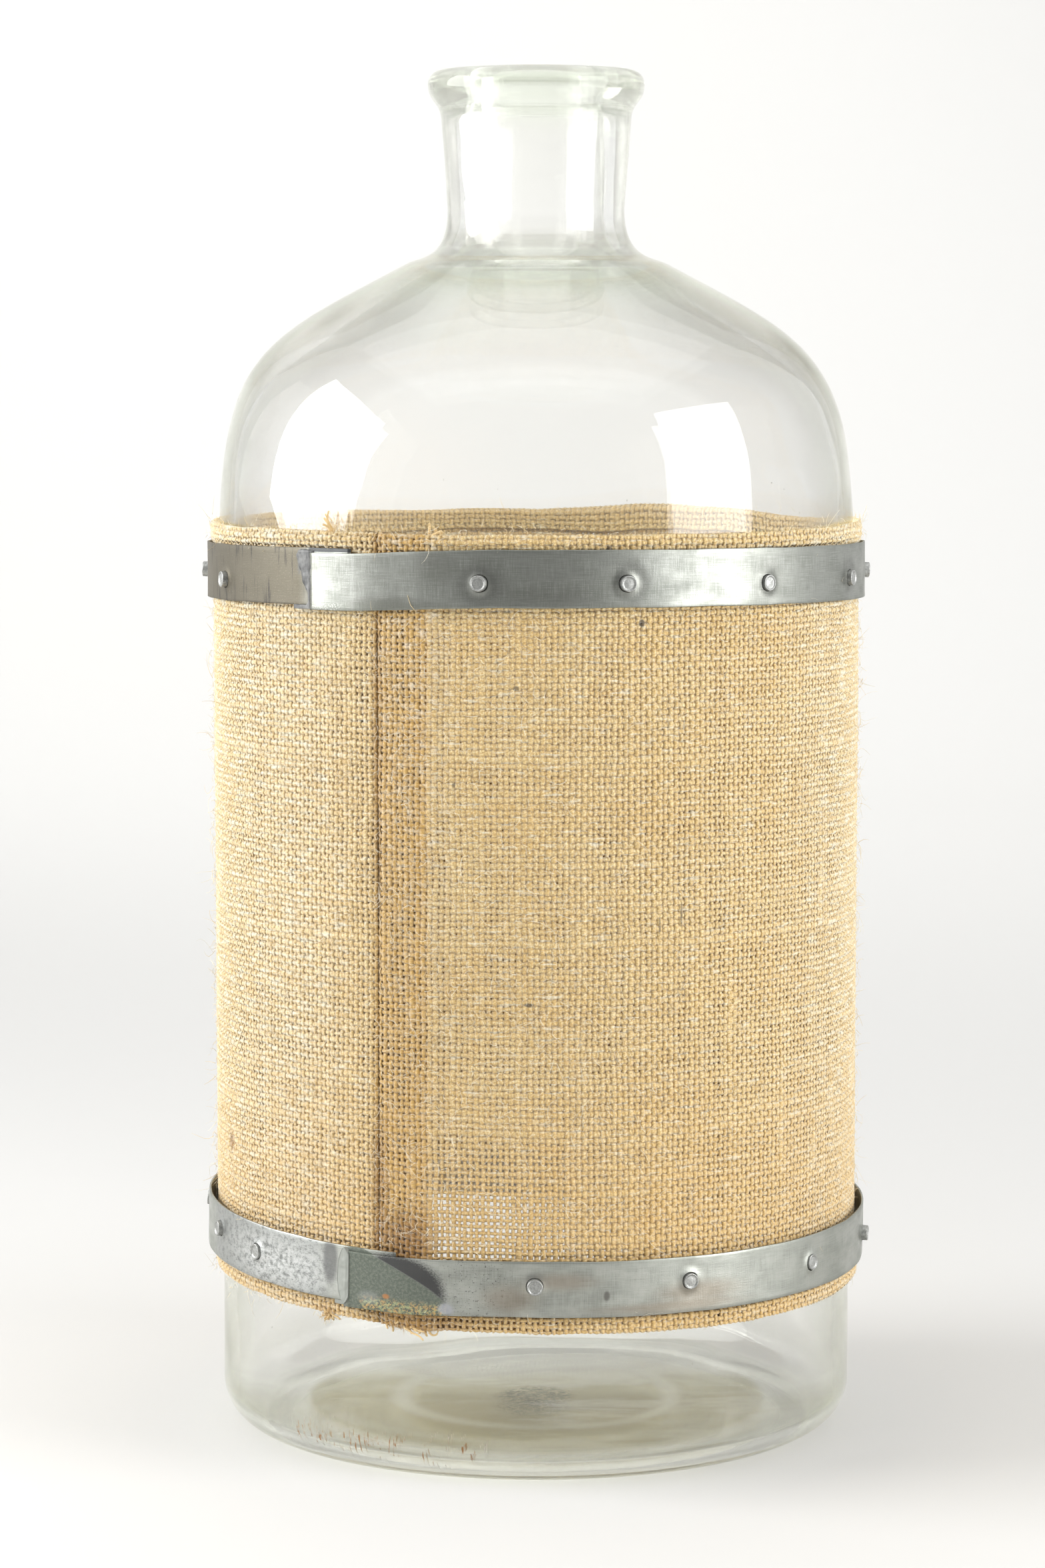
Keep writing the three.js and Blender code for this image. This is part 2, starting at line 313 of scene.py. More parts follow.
def times(first, *others):
    for other in others:
        first = math_node("MULTIPLY", first, other)
    return first


def plus(a, b):
    return math_node("ADD", a, b)


def minus(a, b):
    return math_node("SUBTRACT", a, b)


def most(first, *others):
    for other in others:
        first = math_node("MAXIMUM", first, other)
    return first


def scaled(value, by, offset):
    """A value times by, plus offset."""
    return node(None, "Math", 0, {"operation": "MULTIPLY_ADD"}, i0=value, i1=by, i2=offset)


def less(value, where, amount):
    """A value with an amount taken off where there is something."""
    return minus(value, times(where, amount))


def ramp(value, low, high, to_low=0.0, to_high=1.0):
    settings = {"interpolation_type": "SMOOTHSTEP"}
    return node(None, "MapRange", 0, settings, i0=value, i1=low, i2=high, i3=to_low, i4=to_high)


def attribute(tree, name):
    return node(tree, "Attribute", 2, {"attribute_name": name})


def object_place(tree):
    return node(tree, "TexCoord", 3)


def noise(vector, scale, detail=3.0, roughness=0.55):
    """Noise that has its own scale along each axis."""
    vector = node(None, "VectorMath", 0, {"operation": "MULTIPLY"}, i0=vector, i1=scale)
    return node(None, "TexNoise", 0, None, Vector=vector, Scale=1.0, Detail=detail, Roughness=roughness)


def combine(x, y):
    return node(None, "CombineXYZ", 0, None, X=x, Y=y, Z=0.0)


def axes(vector):
    """A vector's three parts."""
    split = vector.id_data.nodes.new("ShaderNodeSeparateXYZ")
    put(split.inputs[0], vector)
    return split.outputs


def bump(height, strength, distance):
    return node(None, "Bump", 0, None, Height=height, Strength=strength, Distance=distance)


def colour(red, green, blue):
    return (red, green, blue, 1.0)


def within(value, low, high, soft):
    """1 between low and high and 0 outside them, with soft ends."""
    up = ramp(value, low - soft, low + soft)
    down = ramp(value, high - soft, high + soft, 1.0, 0.0)
    return times(up, down)


def blot(turn, rise, place, size, ragged, softness):
    """A ragged oval patch: 1 in the middle, 0 outside."""
    x = math_node("DIVIDE", minus(turn, place[0]), size[0])
    y = math_node("DIVIDE", minus(rise, place[1]), size[1])
    far = node(None, "VectorMath", 1, {"operation": "LENGTH"}, i0=combine(x, y))
    far = plus(far, ragged)
    return ramp(far, 1 - softness, 1 + softness, 1.0, 0.0)


def lay_blots(base, turn, rise, blots, ragged, softness, tint):
    """Ragged patches of one tint. Each has its middle, its half sizes and its strength."""
    for place, size, strength in blots:
        base = lay_over(base, blot(turn, rise, place, size, ragged, softness), tint, strength)
    return base


# ---------------------------------------------------------------- stage, light and camera

def build_stage():
    """A white sweep: a floor that curves up into a backdrop."""
    reach, back, rise, bend = 2.2, 3.6, 3.8, 1.2
    floor = np.stack([np.linspace(-2.6, back - bend, 24), np.zeros(24)], 1)
    turn = np.linspace(-math.pi / 2, 0, 25)
    curve = np.stack([back - bend + bend * np.cos(turn), bend + bend * np.sin(turn)], 1)
    wall = np.stack([np.full(6, back), np.linspace(bend, rise, 6)], 1)
    section = np.concatenate([floor, curve[1:], wall[1:]])
    across = np.linspace(-reach, reach, 9)
    points = np.array([[x, y, z] for y, z in section for x in across])
    rows, columns = len(section), len(across)
    i, j = np.meshgrid(np.arange(rows - 1), np.arange(columns - 1), indexing="ij")
    a = i * columns + j
    quads = np.stack([a, a + 1, a + columns + 1, a + columns], -1).reshape(-1, 4)
    mesh = bpy.data.meshes.new("sweep")
    mesh.from_pydata(points.tolist(), [], quads.tolist())
    mesh.polygons.foreach_set("use_smooth", np.full(len(quads), True))
    material, _, surface, _ = new_material("sweep_paper")
    fill(surface, Base_Color=colour(0.71, 0.706, 0.69), Roughness=0.9, Specular_IOR_Level=0.1)
    mesh.materials.append(material)
    add_object("sweep", mesh)


def area_light(name, place, aim, width, height, power, spin=0.0):
    light = bpy.data.lights.new(name, "AREA")
    light.shape = "RECTANGLE"
    light.size, light.size_y = width, height
    light.energy = power
    made = add_object(name, light)
    made.location = place
    facing = (Vector(place) - Vector(aim)).to_track_quat("Z", "Y")
    made.rotation_euler = (facing.to_matrix() @ Euler((0, 0, spin)).to_matrix()).to_euler()
    return made


def build_light():
    middle = (0, 0, 0.35)
    area_light("softbox_left", (-1.15, -0.12, 0.67), middle, 0.84, 0.84, 17, math.radians(70))
    area_light("softbox_right", (1.2, -0.6, 0.57), middle, 0.8, 1.15, 15.5)
    area_light("overhead", (0, -0.2, 2.1), middle, 2.6, 2.2, 8)
    backdrop = area_light("backdrop_light", (-0.7, 1.7, 2.6), (0, 3.5, 1.0), 3.0, 0.9, 48)
    backdrop.data.spread = math.radians(146)
    world = bpy.data.worlds.new("studio")
    bpy.context.scene.world = world
    world.use_nodes = True
    tree = world.node_tree
    tree.nodes.clear()
    depth = axes(node(tree, "TexCoord", 0))[1]
    # The camera's side of the room is dim, which greys the metal. Glass shows the walls all round.
    soft = ramp(depth, -0.98, -0.42, 0.38, 0.95)
    sharp = ramp(depth, -0.98, -0.42, 0.42, 1.4)
    diffuse = node(tree, "LightPath", "Is Diffuse Ray")
    shade = mix_value(diffuse, sharp, soft)
    bent = node(tree, "LightPath", "Is Transmission Ray")
    shade = most(shade, times(bent, 1.4))
    background = tree.nodes.new("ShaderNodeBackground")
    fill(background, Color=shade, Strength=0.7)
    output = tree.nodes.new("ShaderNodeOutputWorld")
    tree.links.new(background.outputs[0], output.inputs["Surface"])
    bpy.context.scene.view_settings.view_transform = "Standard"


def build_camera():
    """The photograph's view: nearly level, from a little under the lip's height."""
    camera = bpy.data.cameras.new("camera")
    camera.sensor_width = 36
    camera.lens = 100.45
    camera.clip_end = 50
    made = add_object("camera", camera)
    made.location = (-0.0054, -1.729, 0.4234)
    made.rotation_euler = (math.radians(90 - 5.6165), 0, 0)
    bpy.context.scene.camera = made


# ---------------------------------------------------------------- glass

def round_and_up(tree):
    """Degrees round from the front and millimetres up, in the part's own frame."""
    x, y, z = axes(object_place(tree))
    angle = math_node("ARCTAN2", x, times(y, -1.0))
    return times(angle, 180 / math.pi), times(z, 1000.0)


PAINTED_BASE_SHADE = colour(0.77, 0.735, 0.61)  # painted shade on the base: the shadowed floor seen down through it
FLECK = colour(0.34, 0.33, 0.27)  # the dirt in the middle of it


def glass_material():
    material, tree, surface, output = new_material("thick_pale_green_glass")
    place = object_place(tree)
    smear = noise(place, (9, 9, 5), 4.0)
    rust, mark, painted_base_shade = glass_dirt_and_painted_light(tree, surface)
    fill(surface, IOR=1.5, Roughness=ramp(smear, 0.5, 0.75, 0.0, 0.035))
    ripple = noise(place, (14, 14, 22), 2.0)
    fill(surface, Normal=bump(ripple, 0.25, 0.0012))
    body = tree.nodes.new("ShaderNodeVolumeAbsorption")
    fill(body, Color=colour(0.61, 0.63, 0.46), Density=8.0)
    tree.links.new(body.outputs[0], output.inputs["Volume"])
    let_lamps_through(tree, surface, output, rust, mark, painted_base_shade)
    return material


def glass_dirt_and_painted_light(tree, surface):
    """Rusty scratches on the heel, painted shade and a dark fleck on the base, and a painted glow under the
    sleeve.
    """
    degrees, height = round_and_up(tree)
    place = object_place(tree)
    x, y, _ = axes(place)
    squares = [math_node("POWER", math_node("ABSOLUTE", a), 2.0) for a in (x, y)]
    from_axis = math_node("SQRT", plus(*squares))
    # Painted shade on all but the back of the base, for the shadowed floor seen down through it, with a
    # painted highlight in a ring where the push-up's slope throws bright arcs, and paler swirls.
    low = ramp(height, 14, 9)
    inner = ramp(from_axis, 0.094, 0.089)
    near = ramp(y, 0.055, 0.02)
    painted_base_shade = times(low, inner, near)
    swirl = noise(place, (14, 40, 40), 3.0, 0.6)
    ring = within(math_node("DIVIDE", from_axis, MM), 51, 58, 4)
    paler_ring_and_swirls = most(times(ring, 0.5), ramp(swirl, 0.5, 0.72, 0.0, 0.6))
    painted_base_shade = times(painted_base_shade, minus(1.0, paler_ring_and_swirls))
    base = mix(painted_base_shade, colour(1, 1, 1), PAINTED_BASE_SHADE)
    # The thick glass at the neck's root and in the lip is greener.
    base = lay_over(base, within(height, 447, 461, 7), colour(0.88, 0.935, 0.86))
    base = lay_over(base, ramp(height, 512, 524), colour(0.91, 0.95, 0.89))
    flat = combine(times(degrees, MM_PER_DEGREE), height)
    nicks = noise(flat, (0.75, 0.11, 1), 3.0, 0.6)
    rust = times(within(degrees, -52, -9, 3), ramp(nicks, 0.62, 0.645), within(height, 7, 19, 3))
    fleck = noise(place, (500, 500, 500), 4.0, 0.7)
    mark = times(low, ramp(from_axis, 0.019, 0.010), ramp(fleck, 0.43, 0.55))
    base = lay_over(base, rust, colour(0.27, 0.13, 0.04))
    base = lay_over(base, mark, FLECK)
    # A painted glow lies on the wall's outside, under the sleeve, standing in for the warm light the jute
    # scatters into the weave's gaps, but not where light comes through the weave.
    thin = times(within(degrees, -20, 6, 2), within(height, 86, 128, 5))
    painted_gap_glow = most(minus(within(height, 101, 346, 5), thin), 0.0)
    outside = BOTTLE_RADIUS - 1.5 * MM
    painted_gap_glow = times(painted_gap_glow, ramp(from_axis, outside - 0.5 * MM, outside))
    base = lay_over(base, painted_gap_glow, colour(0.84, 0.60, 0.30))
    dirt_and_glow = most(rust, times(mark, 0.8), times(painted_gap_glow, 0.32))
    fill(surface, Base_Color=base, Transmission_Weight=minus(1.0, dirt_and_glow))
    return rust, mark, painted_base_shade


def let_lamps_through(tree, surface, output, rust, mark, painted_base_shade):
    """Lamps shine straight through, and thick edges stay as pale as the room on all sides of them."""
    height = round_and_up(tree)[1]
    grazing = node(tree, "LayerWeight", "Facing", None, Blend=0.5)
    pale = ramp(grazing, 0.45, 0.92, 0.05, 0.62)
    for low, high, amount in ((4, 24, 0.55), (448, 470, 0.4), (512, 540, 0.4)):
        there = within(height, low, high, 9)
        pale = most(pale, times(there, amount))
    pale = most(pale, times(painted_base_shade, 0.8))
    pale = times(pale, minus(1.0, rust))
    # Rays seen straight through the base take on its painted shade and its fleck.
    base_shade_and_fleck = mix(painted_base_shade, colour(0.995, 0.998, 0.985), PAINTED_BASE_SHADE)
    base_shade_and_fleck = mix(mark, base_shade_and_fleck, FLECK)
    lamp = node(tree, "LightPath", "Is Shadow Ray")
    clear = tree.nodes.new("ShaderNodeBsdfTransparent")
    fill(clear, Color=mix(lamp, base_shade_and_fleck, colour(0.98, 0.985, 0.97)))
    either = tree.nodes.new("ShaderNodeMixShader")
    put(either.inputs[0], most(pale, lamp))
    tree.links.new(surface.outputs[0], either.inputs[1])
    tree.links.new(clear.outputs[0], either.inputs[2])
    tree.links.new(either.outputs[0], output.inputs["Surface"])


def glass_profile():
    """The same outline as the CAD bottle, in finer steps: base, outside, lip, bore and inside."""
    radius, height = BOTTLE_RADIUS / MM, BOTTLE_HEIGHT / MM
    wall, heel_rounding, foot_width = 6, 17, 10
    push_up, floor, corner = 2, 7, 8  # the base's middle, the level floor inside and its rounded corner
    shoulder = 342  # where the straight wall ends
    root = (51, 458.6)  # the hollow between shoulder and neck
    throat, neck_top, lip = (34.6, 480), (37.4, 515), (42.5, 528)
    lip_flat, mouth_rounding = 37, 4.5
    bore, bore_end, inner_root = 26.3, 478, (47.5, 451.3)
    inside, heel = radius - wall, radius - heel_rounding
    foot, mouth = heel - foot_width, height - mouth_rounding
    return join_path(
        bezier([0, push_up], [50, push_up], [75, 0], [foot, 0], 40),
        line([foot, 0], [heel, 0], 4),
        arc(heel, heel_rounding, heel_rounding, -90, 0, 16),
        line([radius, heel_rounding], [radius, shoulder], 70),
        bezier([radius, shoulder], [radius, 424], [109, 428], root, 60),
        bezier(root, [46, 461.3], [throat[0], 460], throat, 16),
        line(throat, neck_top, 14),
        bezier(neck_top, [38.2, 522], [lip[0], 521], lip, 10),
        bezier(lip, [lip[0], 531], [40, height], [lip_flat, height], 8),
        line([lip_flat, height], [bore + mouth_rounding, height], 2),
        arc(bore + mouth_rounding, mouth, mouth_rounding, 90, 180, 8),
        line([bore, mouth], [bore, bore_end], 20),
        bezier([bore, bore_end], [bore, 454.6], [39.7, 455.2], inner_root, 16),
        bezier(inner_root, [105.5, 420.5], [inside, 419], [inside, shoulder], 60),
        line([inside, shoulder], [inside, floor + corner], 70),
        arc(inside - corner, floor + corner, corner, 0, -90, 14),
        line([inside - corner, floor], [0, floor], 40),
    )


def blown_bulge(profile):
    """Blown glass isn't true: each face of the wall wanders by a few tenths of a millimetre."""
    half = len(profile) // 2
    side = (np.arange(len(profile)) > half)[1:-1, None]

    def bulge(angle, height):
        x, y = np.sin(angle) * 0.12, np.cos(angle) * 0.12
        cell = 60 * MM
        wander = smooth_noise(x + height, y + 3 * height, cell, 5) * 0.22 * MM
        inner = smooth_noise(x - height, y + 2 * height, cell, 6) * 0.18 * MM
        steady = smoothstep(height, 4 * MM, 30 * MM)
        return np.where(side, inner, wander) * steady

    return bulge


def seeds(count):
    """Small bubbles in the wall, as closed surfaces that face into the air inside them."""
    rng = np.random.default_rng(11)
    rings, columns = 5, 8
    tilt = np.linspace(0, math.pi, rings + 2)[1:-1]
    turn = np.linspace(0, 2 * math.pi, columns, endpoint=False)
    unit = [[0, 0, 1]]
    unit += [[math.sin(t) * math.cos(a), math.sin(t) * math.sin(a), math.cos(t)] for t in tilt for a in turn]
    unit += [[0, 0, -1]]
    unit = np.array(unit)
    faces = []
    for j in range(columns):
        k = (j + 1) % columns
        faces.append([0, 1 + k, 1 + j])
        for i in range(rings - 1):
            a, b = 1 + i * columns, 1 + (i + 1) * columns
            faces += [[a + j, a + k, b + j], [a + k, b + k, b + j]]
        a = 1 + (rings - 1) * columns
        faces.append([a + j, a + k, len(unit) - 1])
    faces = np.array(faces)
    points, triangles = [], []
    for i in range(count):
        angle = rng.uniform(0, 2 * math.pi)
        height = rng.choice([rng.uniform(0.02, 0.06), rng.uniform(0.36, 0.385)])
        depth = BOTTLE_RADIUS - (3 + rng.uniform(-1.2, 1.2)) * MM - 4 * MM * smoothstep(height, 0.35, 0.39)
        size = rng.uniform(0.08, 0.26) * MM
        shape = unit * size * np.array([1, 1, rng.uniform(1.0, 1.9)])
        centre = np.array([math.sin(angle) * depth, -math.cos(angle) * depth, height])
        points.append(shape + centre)
        triangles.append(faces + i * len(unit))
    return np.concatenate(points), np.concatenate(triangles)


def build_bottle():
    profile = glass_profile()
    segments, bubble_count = (256), 60
    points, faces = revolve(profile, segments, blown_bulge(profile))
    bubbles, triangles = seeds(bubble_count)
    faces.append(triangles + len(points))
    points = np.concatenate([points, bubbles])
    piece("bottle", points, faces, glass_material(), ["glass_bottle"])


# ---------------------------------------------------------------- burlap

WARP_PITCH = 2.22 * MM
WEFT_PITCH = 2.44 * MM
CRIMP = 0.36 * MM  # how far a yarn rises and falls as it goes over and under
YARN_THICKNESS = 0.76 * MM
CLOTH_RADIUS = 126.5 * MM  # the middle of the cloth where it hangs free between the bands
SEAM_FOLD = 0.85 * MM
HEM_FOLD = 0.9 * MM
SEAM_FLAP = 20 * MM
HEM_FLAP = 12 * MM
SEAM_CLEARANCE = 0.62 * MM  # from the seam's middle to each side's fold, which press on one another
HEM_CLEARANCE = 0.85 * MM
WARP_WIDTH, WEFT_WIDTH, USUAL_WIDTH = 1.6 * MM, 1.65 * MM, 1.5 * MM
YARN_TWIST = 4200.0  # radians to a metre of yarn
SECTION = 4  # corners of a yarn's section
PIECE_FACES = 190000  # the most triangles in one piece of cloth
WARP_SEED, WEFT_SEED = 100, 200

FOLD_QUARTER = math.pi / 2
CLOTH_WIDTH = 2 * math.pi * CLOTH_RADIUS - 2 * SEAM_CLEARANCE - 2 * SEAM_FOLD * (1 - FOLD_QUARTER)
CLOTH_HEIGHT = SLEEVE_HIGH - SLEEVE_LOW - 2 * HEM_CLEARANCE - 2 * HEM_FOLD * (1 - FOLD_QUARTER)


def fold(distance, radius):
    """Cloth that comes up to an edge, turns back round it and goes away behind itself.

    distance is measured along the cloth from the edge, positive on the outer layer. Returns how far
    a point is from the edge, how far it has dropped behind the outer layer, and its normal's two parts.
    """
    turn = np.clip(distance / radius, -FOLD_QUARTER, FOLD_QUARTER)
    straight = np.abs(distance) - radius * np.abs(turn)
    away = radius * (1 - np.cos(turn)) + straight
    behind = (1 - np.sin(turn)) / 2
    return away, -2 * radius * behind, -np.cos(turn), np.sin(turn)


def outer_radius(angle, height):
    """The middle of the outer layer of cloth: pressed under the bands, fuller at the hems and seam."""
    from_seam = np.abs((angle - SEAM_ANGLE + math.pi) % (2 * math.pi) - math.pi) * CLOTH_RADIUS
    seam = 0.75 * MM * (1 - smoothstep(from_seam, SEAM_FLAP + 0.5 * MM, SEAM_FLAP + 6 * MM))
    around, up = angle * CLOTH_RADIUS, height
    wander = 0.22 * MM * smooth_noise(around, up, 0.055, 21)
    radius = CLOTH_RADIUS + wander
    top_edge = TOP.height + TOP.rise_at(angle) + STRIP_WIDTH / 2
    bottom_edge = BOTTOM.height + BOTTOM.rise_at(angle) - STRIP_WIDTH / 2
    hem = smoothstep(height, top_edge - 1 * MM, top_edge + 1.5 * MM)
    hem = hem + 1 - smoothstep(height, bottom_edge - 1.5 * MM, bottom_edge + 1 * MM)
    return radius + np.maximum(seam, hem * 1.15 * MM)


def hem_sag(angle, height):
    """How far the sleeve's two ends are off level: they lean with the bands, and they wander a little."""
    low = 1 - smoothstep(height, SLEEVE_LOW + 0.01, SLEEVE_LOW + 0.09)
    high = smoothstep(height, SLEEVE_HIGH - 0.06, SLEEVE_HIGH - 0.01)
    around = np.sin(angle) * 0.127, np.cos(angle) * 0.127
    wavy = 0.45 * MM * smooth_noise(*around, 0.03, 22) + 0.2 * MM * smooth_noise(*around, 0.009, 23)
    frayed = bump_at(np.degrees(angle), -21, 5)
    lean = -1.3 * MM * np.cos(angle) + 0.4 * MM
    return low * (BOTTOM.rise_at(angle) + 1.2 * MM + wavy - 1.3 * MM * frayed) + high * (lean + wavy)


def cloth_point(u, v, h):
    """Where the point of the cloth at u along it, v up it and h off its outer face's middle lies."""
    start = fold(u, SEAM_FOLD)
    end = fold(CLOTH_WIDTH - u, SEAM_FOLD)
    near_start = u < CLOTH_WIDTH / 2
    around, drop_u, side_u, face_u = (np.where(near_start, a, b) for a, b in zip(start, end))
    sense = np.where(near_start, 1.0, -1.0)
    angle = SEAM_ANGLE + sense * (around + SEAM_CLEARANCE) / CLOTH_RADIUS
    low = fold(v, HEM_FOLD)
    high = fold(CLOTH_HEIGHT - v, HEM_FOLD)
    near_low = v < CLOTH_HEIGHT / 2
    up, drop_v, side_v, face_v = (np.where(near_low, a, b) for a, b in zip(low, high))
    height = np.where(near_low, SLEEVE_LOW + HEM_CLEARANCE + up, SLEEVE_HIGH - HEM_CLEARANCE - up)
    lift = np.where(near_low, 1.0, -1.0)
    height = height + hem_sag(angle, height)
    radius = outer_radius(angle, height) + drop_u + drop_v + h * face_u * face_v
    angle = angle + h * side_u * sense / CLOTH_RADIUS
    height = height + h * side_v * lift
    # A folded layer's yarns fall between those in front of it.
    angle = angle - WARP_PITCH / CLOTH_RADIUS * drop_v / (4 * HEM_FOLD)
    height = height - WEFT_PITCH * drop_u / (4 * SEAM_FOLD)
    return round_axis(radius, angle, height)


def wander(u, v):
    """How far the weave is out of true: the same for both yarns where they cross."""
    du = 0.42 * MM * smooth_noise(u, v, 0.028, 31) + 0.16 * MM * smooth_noise(u, v, 0.006, 32)
    dv = 0.42 * MM * smooth_noise(u, v, 0.024, 33) + 0.16 * MM * smooth_noise(u, v, 0.006, 34)
    return u + du, v + dv


def fullness(u, v):
    """How full the yarns are: tight on most of the cloth, thin where light comes through low in front."""
    from_left = CLOTH_WIDTH - u
    tight = smoothstep(from_left, 0.0, 0.014) * smoothstep(u, 0.019, 0.032)
    open_here = smoothstep(u, 0.018, 0.026) * (1 - smoothstep(u, 0.045, 0.09))
    low_front = open_here * (1 - smoothstep(v, 0.05, 0.085))
    patches = smooth_noise(u, v, 0.05, 41)
    return 1.1 + 0.27 * tight - 0.5 * low_front + 0.06 * patches


def yarns(first, last, fixed, running, seed, is_warp):
    """Many yarns that go over and under. fixed is each yarn's own place, running the crossings' places."""
    rng = np.random.default_rng(seed)
    count = last - first
    steps = 2 * len(running) - 1
    along = np.interp(np.arange(steps) / 2, np.arange(len(running)), running)
    crossing = np.arange(steps) // 2
    index = np.arange(first, last)
    parity = np.where((index[:, None] + crossing[None, :]) % 2, -1.0, 1.0) * (1 if is_warp else -1)
    height = CRIMP * np.where(np.arange(steps) % 2, 0.0, parity)
    own = fixed[first:last, None] + 0 * along
    along = along + 0 * own
    width = (WARP_WIDTH if is_warp else WEFT_WIDTH) * (1 + rng.normal(0, 0.11, (count, 1)))
    width = width * (1 + 0.2 * smooth_noise(own * 7.3, along, 0.008, seed + 1))
    slub = smooth_noise(own * 11.1, along, 0.03, seed + 2)
    width = width * (1 + 0.5 * smoothstep(slub, 0.72, 0.95))
    u, v = (own, along) if is_warp else (along, own)
    width = width * fullness(u, v)
    jitter = 0.2 * MM * smooth_noise(own * 5.1, along, 0.006, seed + 3)
    thickness = YARN_THICKNESS * (0.9 + 0.1 * width / USUAL_WIDTH)
    half = np.stack([width / 2, 0 * width, -width / 2, 0 * width], -1)
    rise = np.stack([0 * width, thickness / 2, 0 * width, -thickness / 2], -1)
    if not is_warp:
        half = -half
    du, dv = wander(u, v)
    if is_warp:
        u4, v4 = (du + jitter)[..., None] + half, dv[..., None] + 0 * half
    else:
        u4, v4 = du[..., None] + 0 * half, (dv + jitter)[..., None] + half
    points = cloth_point(u4, v4, height[..., None] + rise)
    tone = np.repeat(np.repeat(rng.normal(0, 1, (count, 1, 1)), steps, 1), SECTION, 2)
    tone = tone + 0.8 * smooth_noise(own * 9.7, along, 0.02, seed + 4)[..., None]
    travel = along[..., None] + 0 * half
    corner = np.broadcast_to(np.arange(SECTION) * 2 * math.pi / SECTION, half.shape)
    data = {"tone": tone, "travel": travel, "round_x": np.cos(corner), "round_y": np.sin(corner)}
    return points.reshape(-1, 3), tube_faces(count, steps, SECTION), data


def cloth_wear(degrees, height, base):
    """Bleached streaks left of the seam, a painted sheen towards both sides, painted shade on the back of
    the top hem and beside the seam, brown damp at its foot, and specks caught in the weave.
    """
    flat = combine(times(degrees, MM_PER_DEGREE), height)
    streak = noise(flat, (0.11, 0.7, 1), 3.0, 0.65)
    cloud = noise(flat, (0.03, 0.03, 1), 3.0, 0.5)
    ragged = minus(cloud, 0.5)
    pale = colour(0.93, 0.87, 0.70)
    # Pale streaks: bleaching left of the seam, and a painted sheen towards both sides, where the cloth turns
    # away.
    left = within(degrees, -100, -36, 12)
    side = most(left, within(degrees, 55, 110, 16))
    wide = ramp(streak, 0.46, 0.62, 0.15, 0.8)
    base = lay_over(base, times(side, wide), pale)
    anywhere = ramp(streak, 0.56, 0.67, 0.0, 0.75)
    base = lay_over(base, anywhere, pale)
    low = ramp(height, 180, 70, 0.0, 0.34)
    base = lay_over(base, low, colour(0.78, 0.47, 0.15))
    behind = ramp(math_node("ABSOLUTE", degrees), 85, 110)
    shaded = times(behind, ramp(height, 348, 356, 0.0, 0.5))
    base = lay_over(base, shaded, colour(0.55, 0.36, 0.16))
    # Painted shade: the strip right of the seam, with the folded flap behind it, is browner.
    beside = within(degrees, -28.5, -18.5, 1.0)
    base = lay_over(base, beside, colour(0.62, 0.34, 0.05), 0.5)
    chalk = noise(flat, (0.22, 0.45, 1), 4.0, 0.7)
    chalk = times(ramp(chalk, 0.48, 0.66), ramp(height, 150, 300, 0.2, 0.6), within(degrees, -27.5, -15, 2))
    base = lay_over(base, chalk, colour(0.93, 0.86, 0.72))
    stains = (
        ((-22.5, 92), (5.2, 13), 0.8),
        ((-27.5, 112), (1.6, 26), 0.55),
        ((-69, 118), (1.4, 3.5), 0.75),
        ((-27.6, 290), (0.8, 60), 0.35),
        ((-21, 63), (9, 7), 0.5),
        ((-38.6, 60), (2.5, 6), 0.5),
    )
    base = lay_blots(base, degrees, height, stains, ragged, 0.6, colour(0.33, 0.16, 0.045))
    specks = (
        ((17.7, 324.7), (0.55, 1.3), 0.9),
        ((-1.4, 183.6), (0.7, 0.7), 0.85),
        ((25, 216), (0.2, 4.5), 0.7),
        ((21, 212), (0.2, 3), 0.6),
        ((-3.5, 301), (0.5, 0.9), 0.7),
        ((12, 352), (0.5, 1.2), 0.85),
        ((-14, 265), (0.3, 0.8), 0.7),
        ((38, 246), (0.3, 1.1), 0.6),
    )
    steady = times(ragged, 0.3)
    return lay_blots(base, degrees, height, specks, steady, 0.3, colour(0.13, 0.10, 0.07))


def burlap_material(name):
    material, tree, surface, _ = new_material(name)
    place = object_place(tree)
    degrees, height = round_and_up(tree)
    tone = attribute(tree, "tone")
    lay = math_node("ARCTAN2", attribute(tree, "round_y"), attribute(tree, "round_x"))
    lay = plus(lay, times(attribute(tree, "travel"), YARN_TWIST))
    twist = math_node("SINE", lay)
    fibre = noise(place, (1500, 1500, 1500), 4.0, 0.75)
    cloud = noise(place, (24, 24, 30), 4.0)
    own = ramp(times(tone, 0.12), -0.3, 0.3)
    base = mix(own, colour(1.0, 0.79, 0.41), colour(0.90, 0.65, 0.27))
    base = lay_over(base, ramp(cloud, 0.35, 0.7, 0.0, 0.4), colour(1.0, 0.84, 0.46))
    # Painted shade: each yarn's flanks, down in the crevices of the weave, are browner.
    painted_crevice_shade = ramp(attribute(tree, "round_y"), 0.6, 0.0, 0.0, 0.55)
    base = lay_over(base, painted_crevice_shade, colour(0.60, 0.34, 0.09))
    base = lay_over(base, ramp(fibre, 0.42, 0.62, 0.0, 0.75), colour(0.60, 0.38, 0.14))
    base = lay_over(base, ramp(fibre, 0.5, 0.35, 0.0, 0.6), colour(0.98, 0.90, 0.66))
    # Painted shade in the grooves between the twisted plies.
    base = lay_over(base, ramp(twist, -1.0, -0.2, 0.35, 0.0), colour(0.48, 0.29, 0.10))
    fill(surface, Base_Color=cloth_wear(degrees, height, base))
    fill(surface, Roughness=0.95, Specular_IOR_Level=0.15)
    fill(surface, Sheen_Weight=0.6, Sheen_Roughness=0.5, Sheen_Tint=colour(1.0, 0.96, 0.88))
    relief = plus(fibre, times(twist, 0.25))
    fill(surface, Normal=bump(relief, 0.7, 0.0006))
    return material


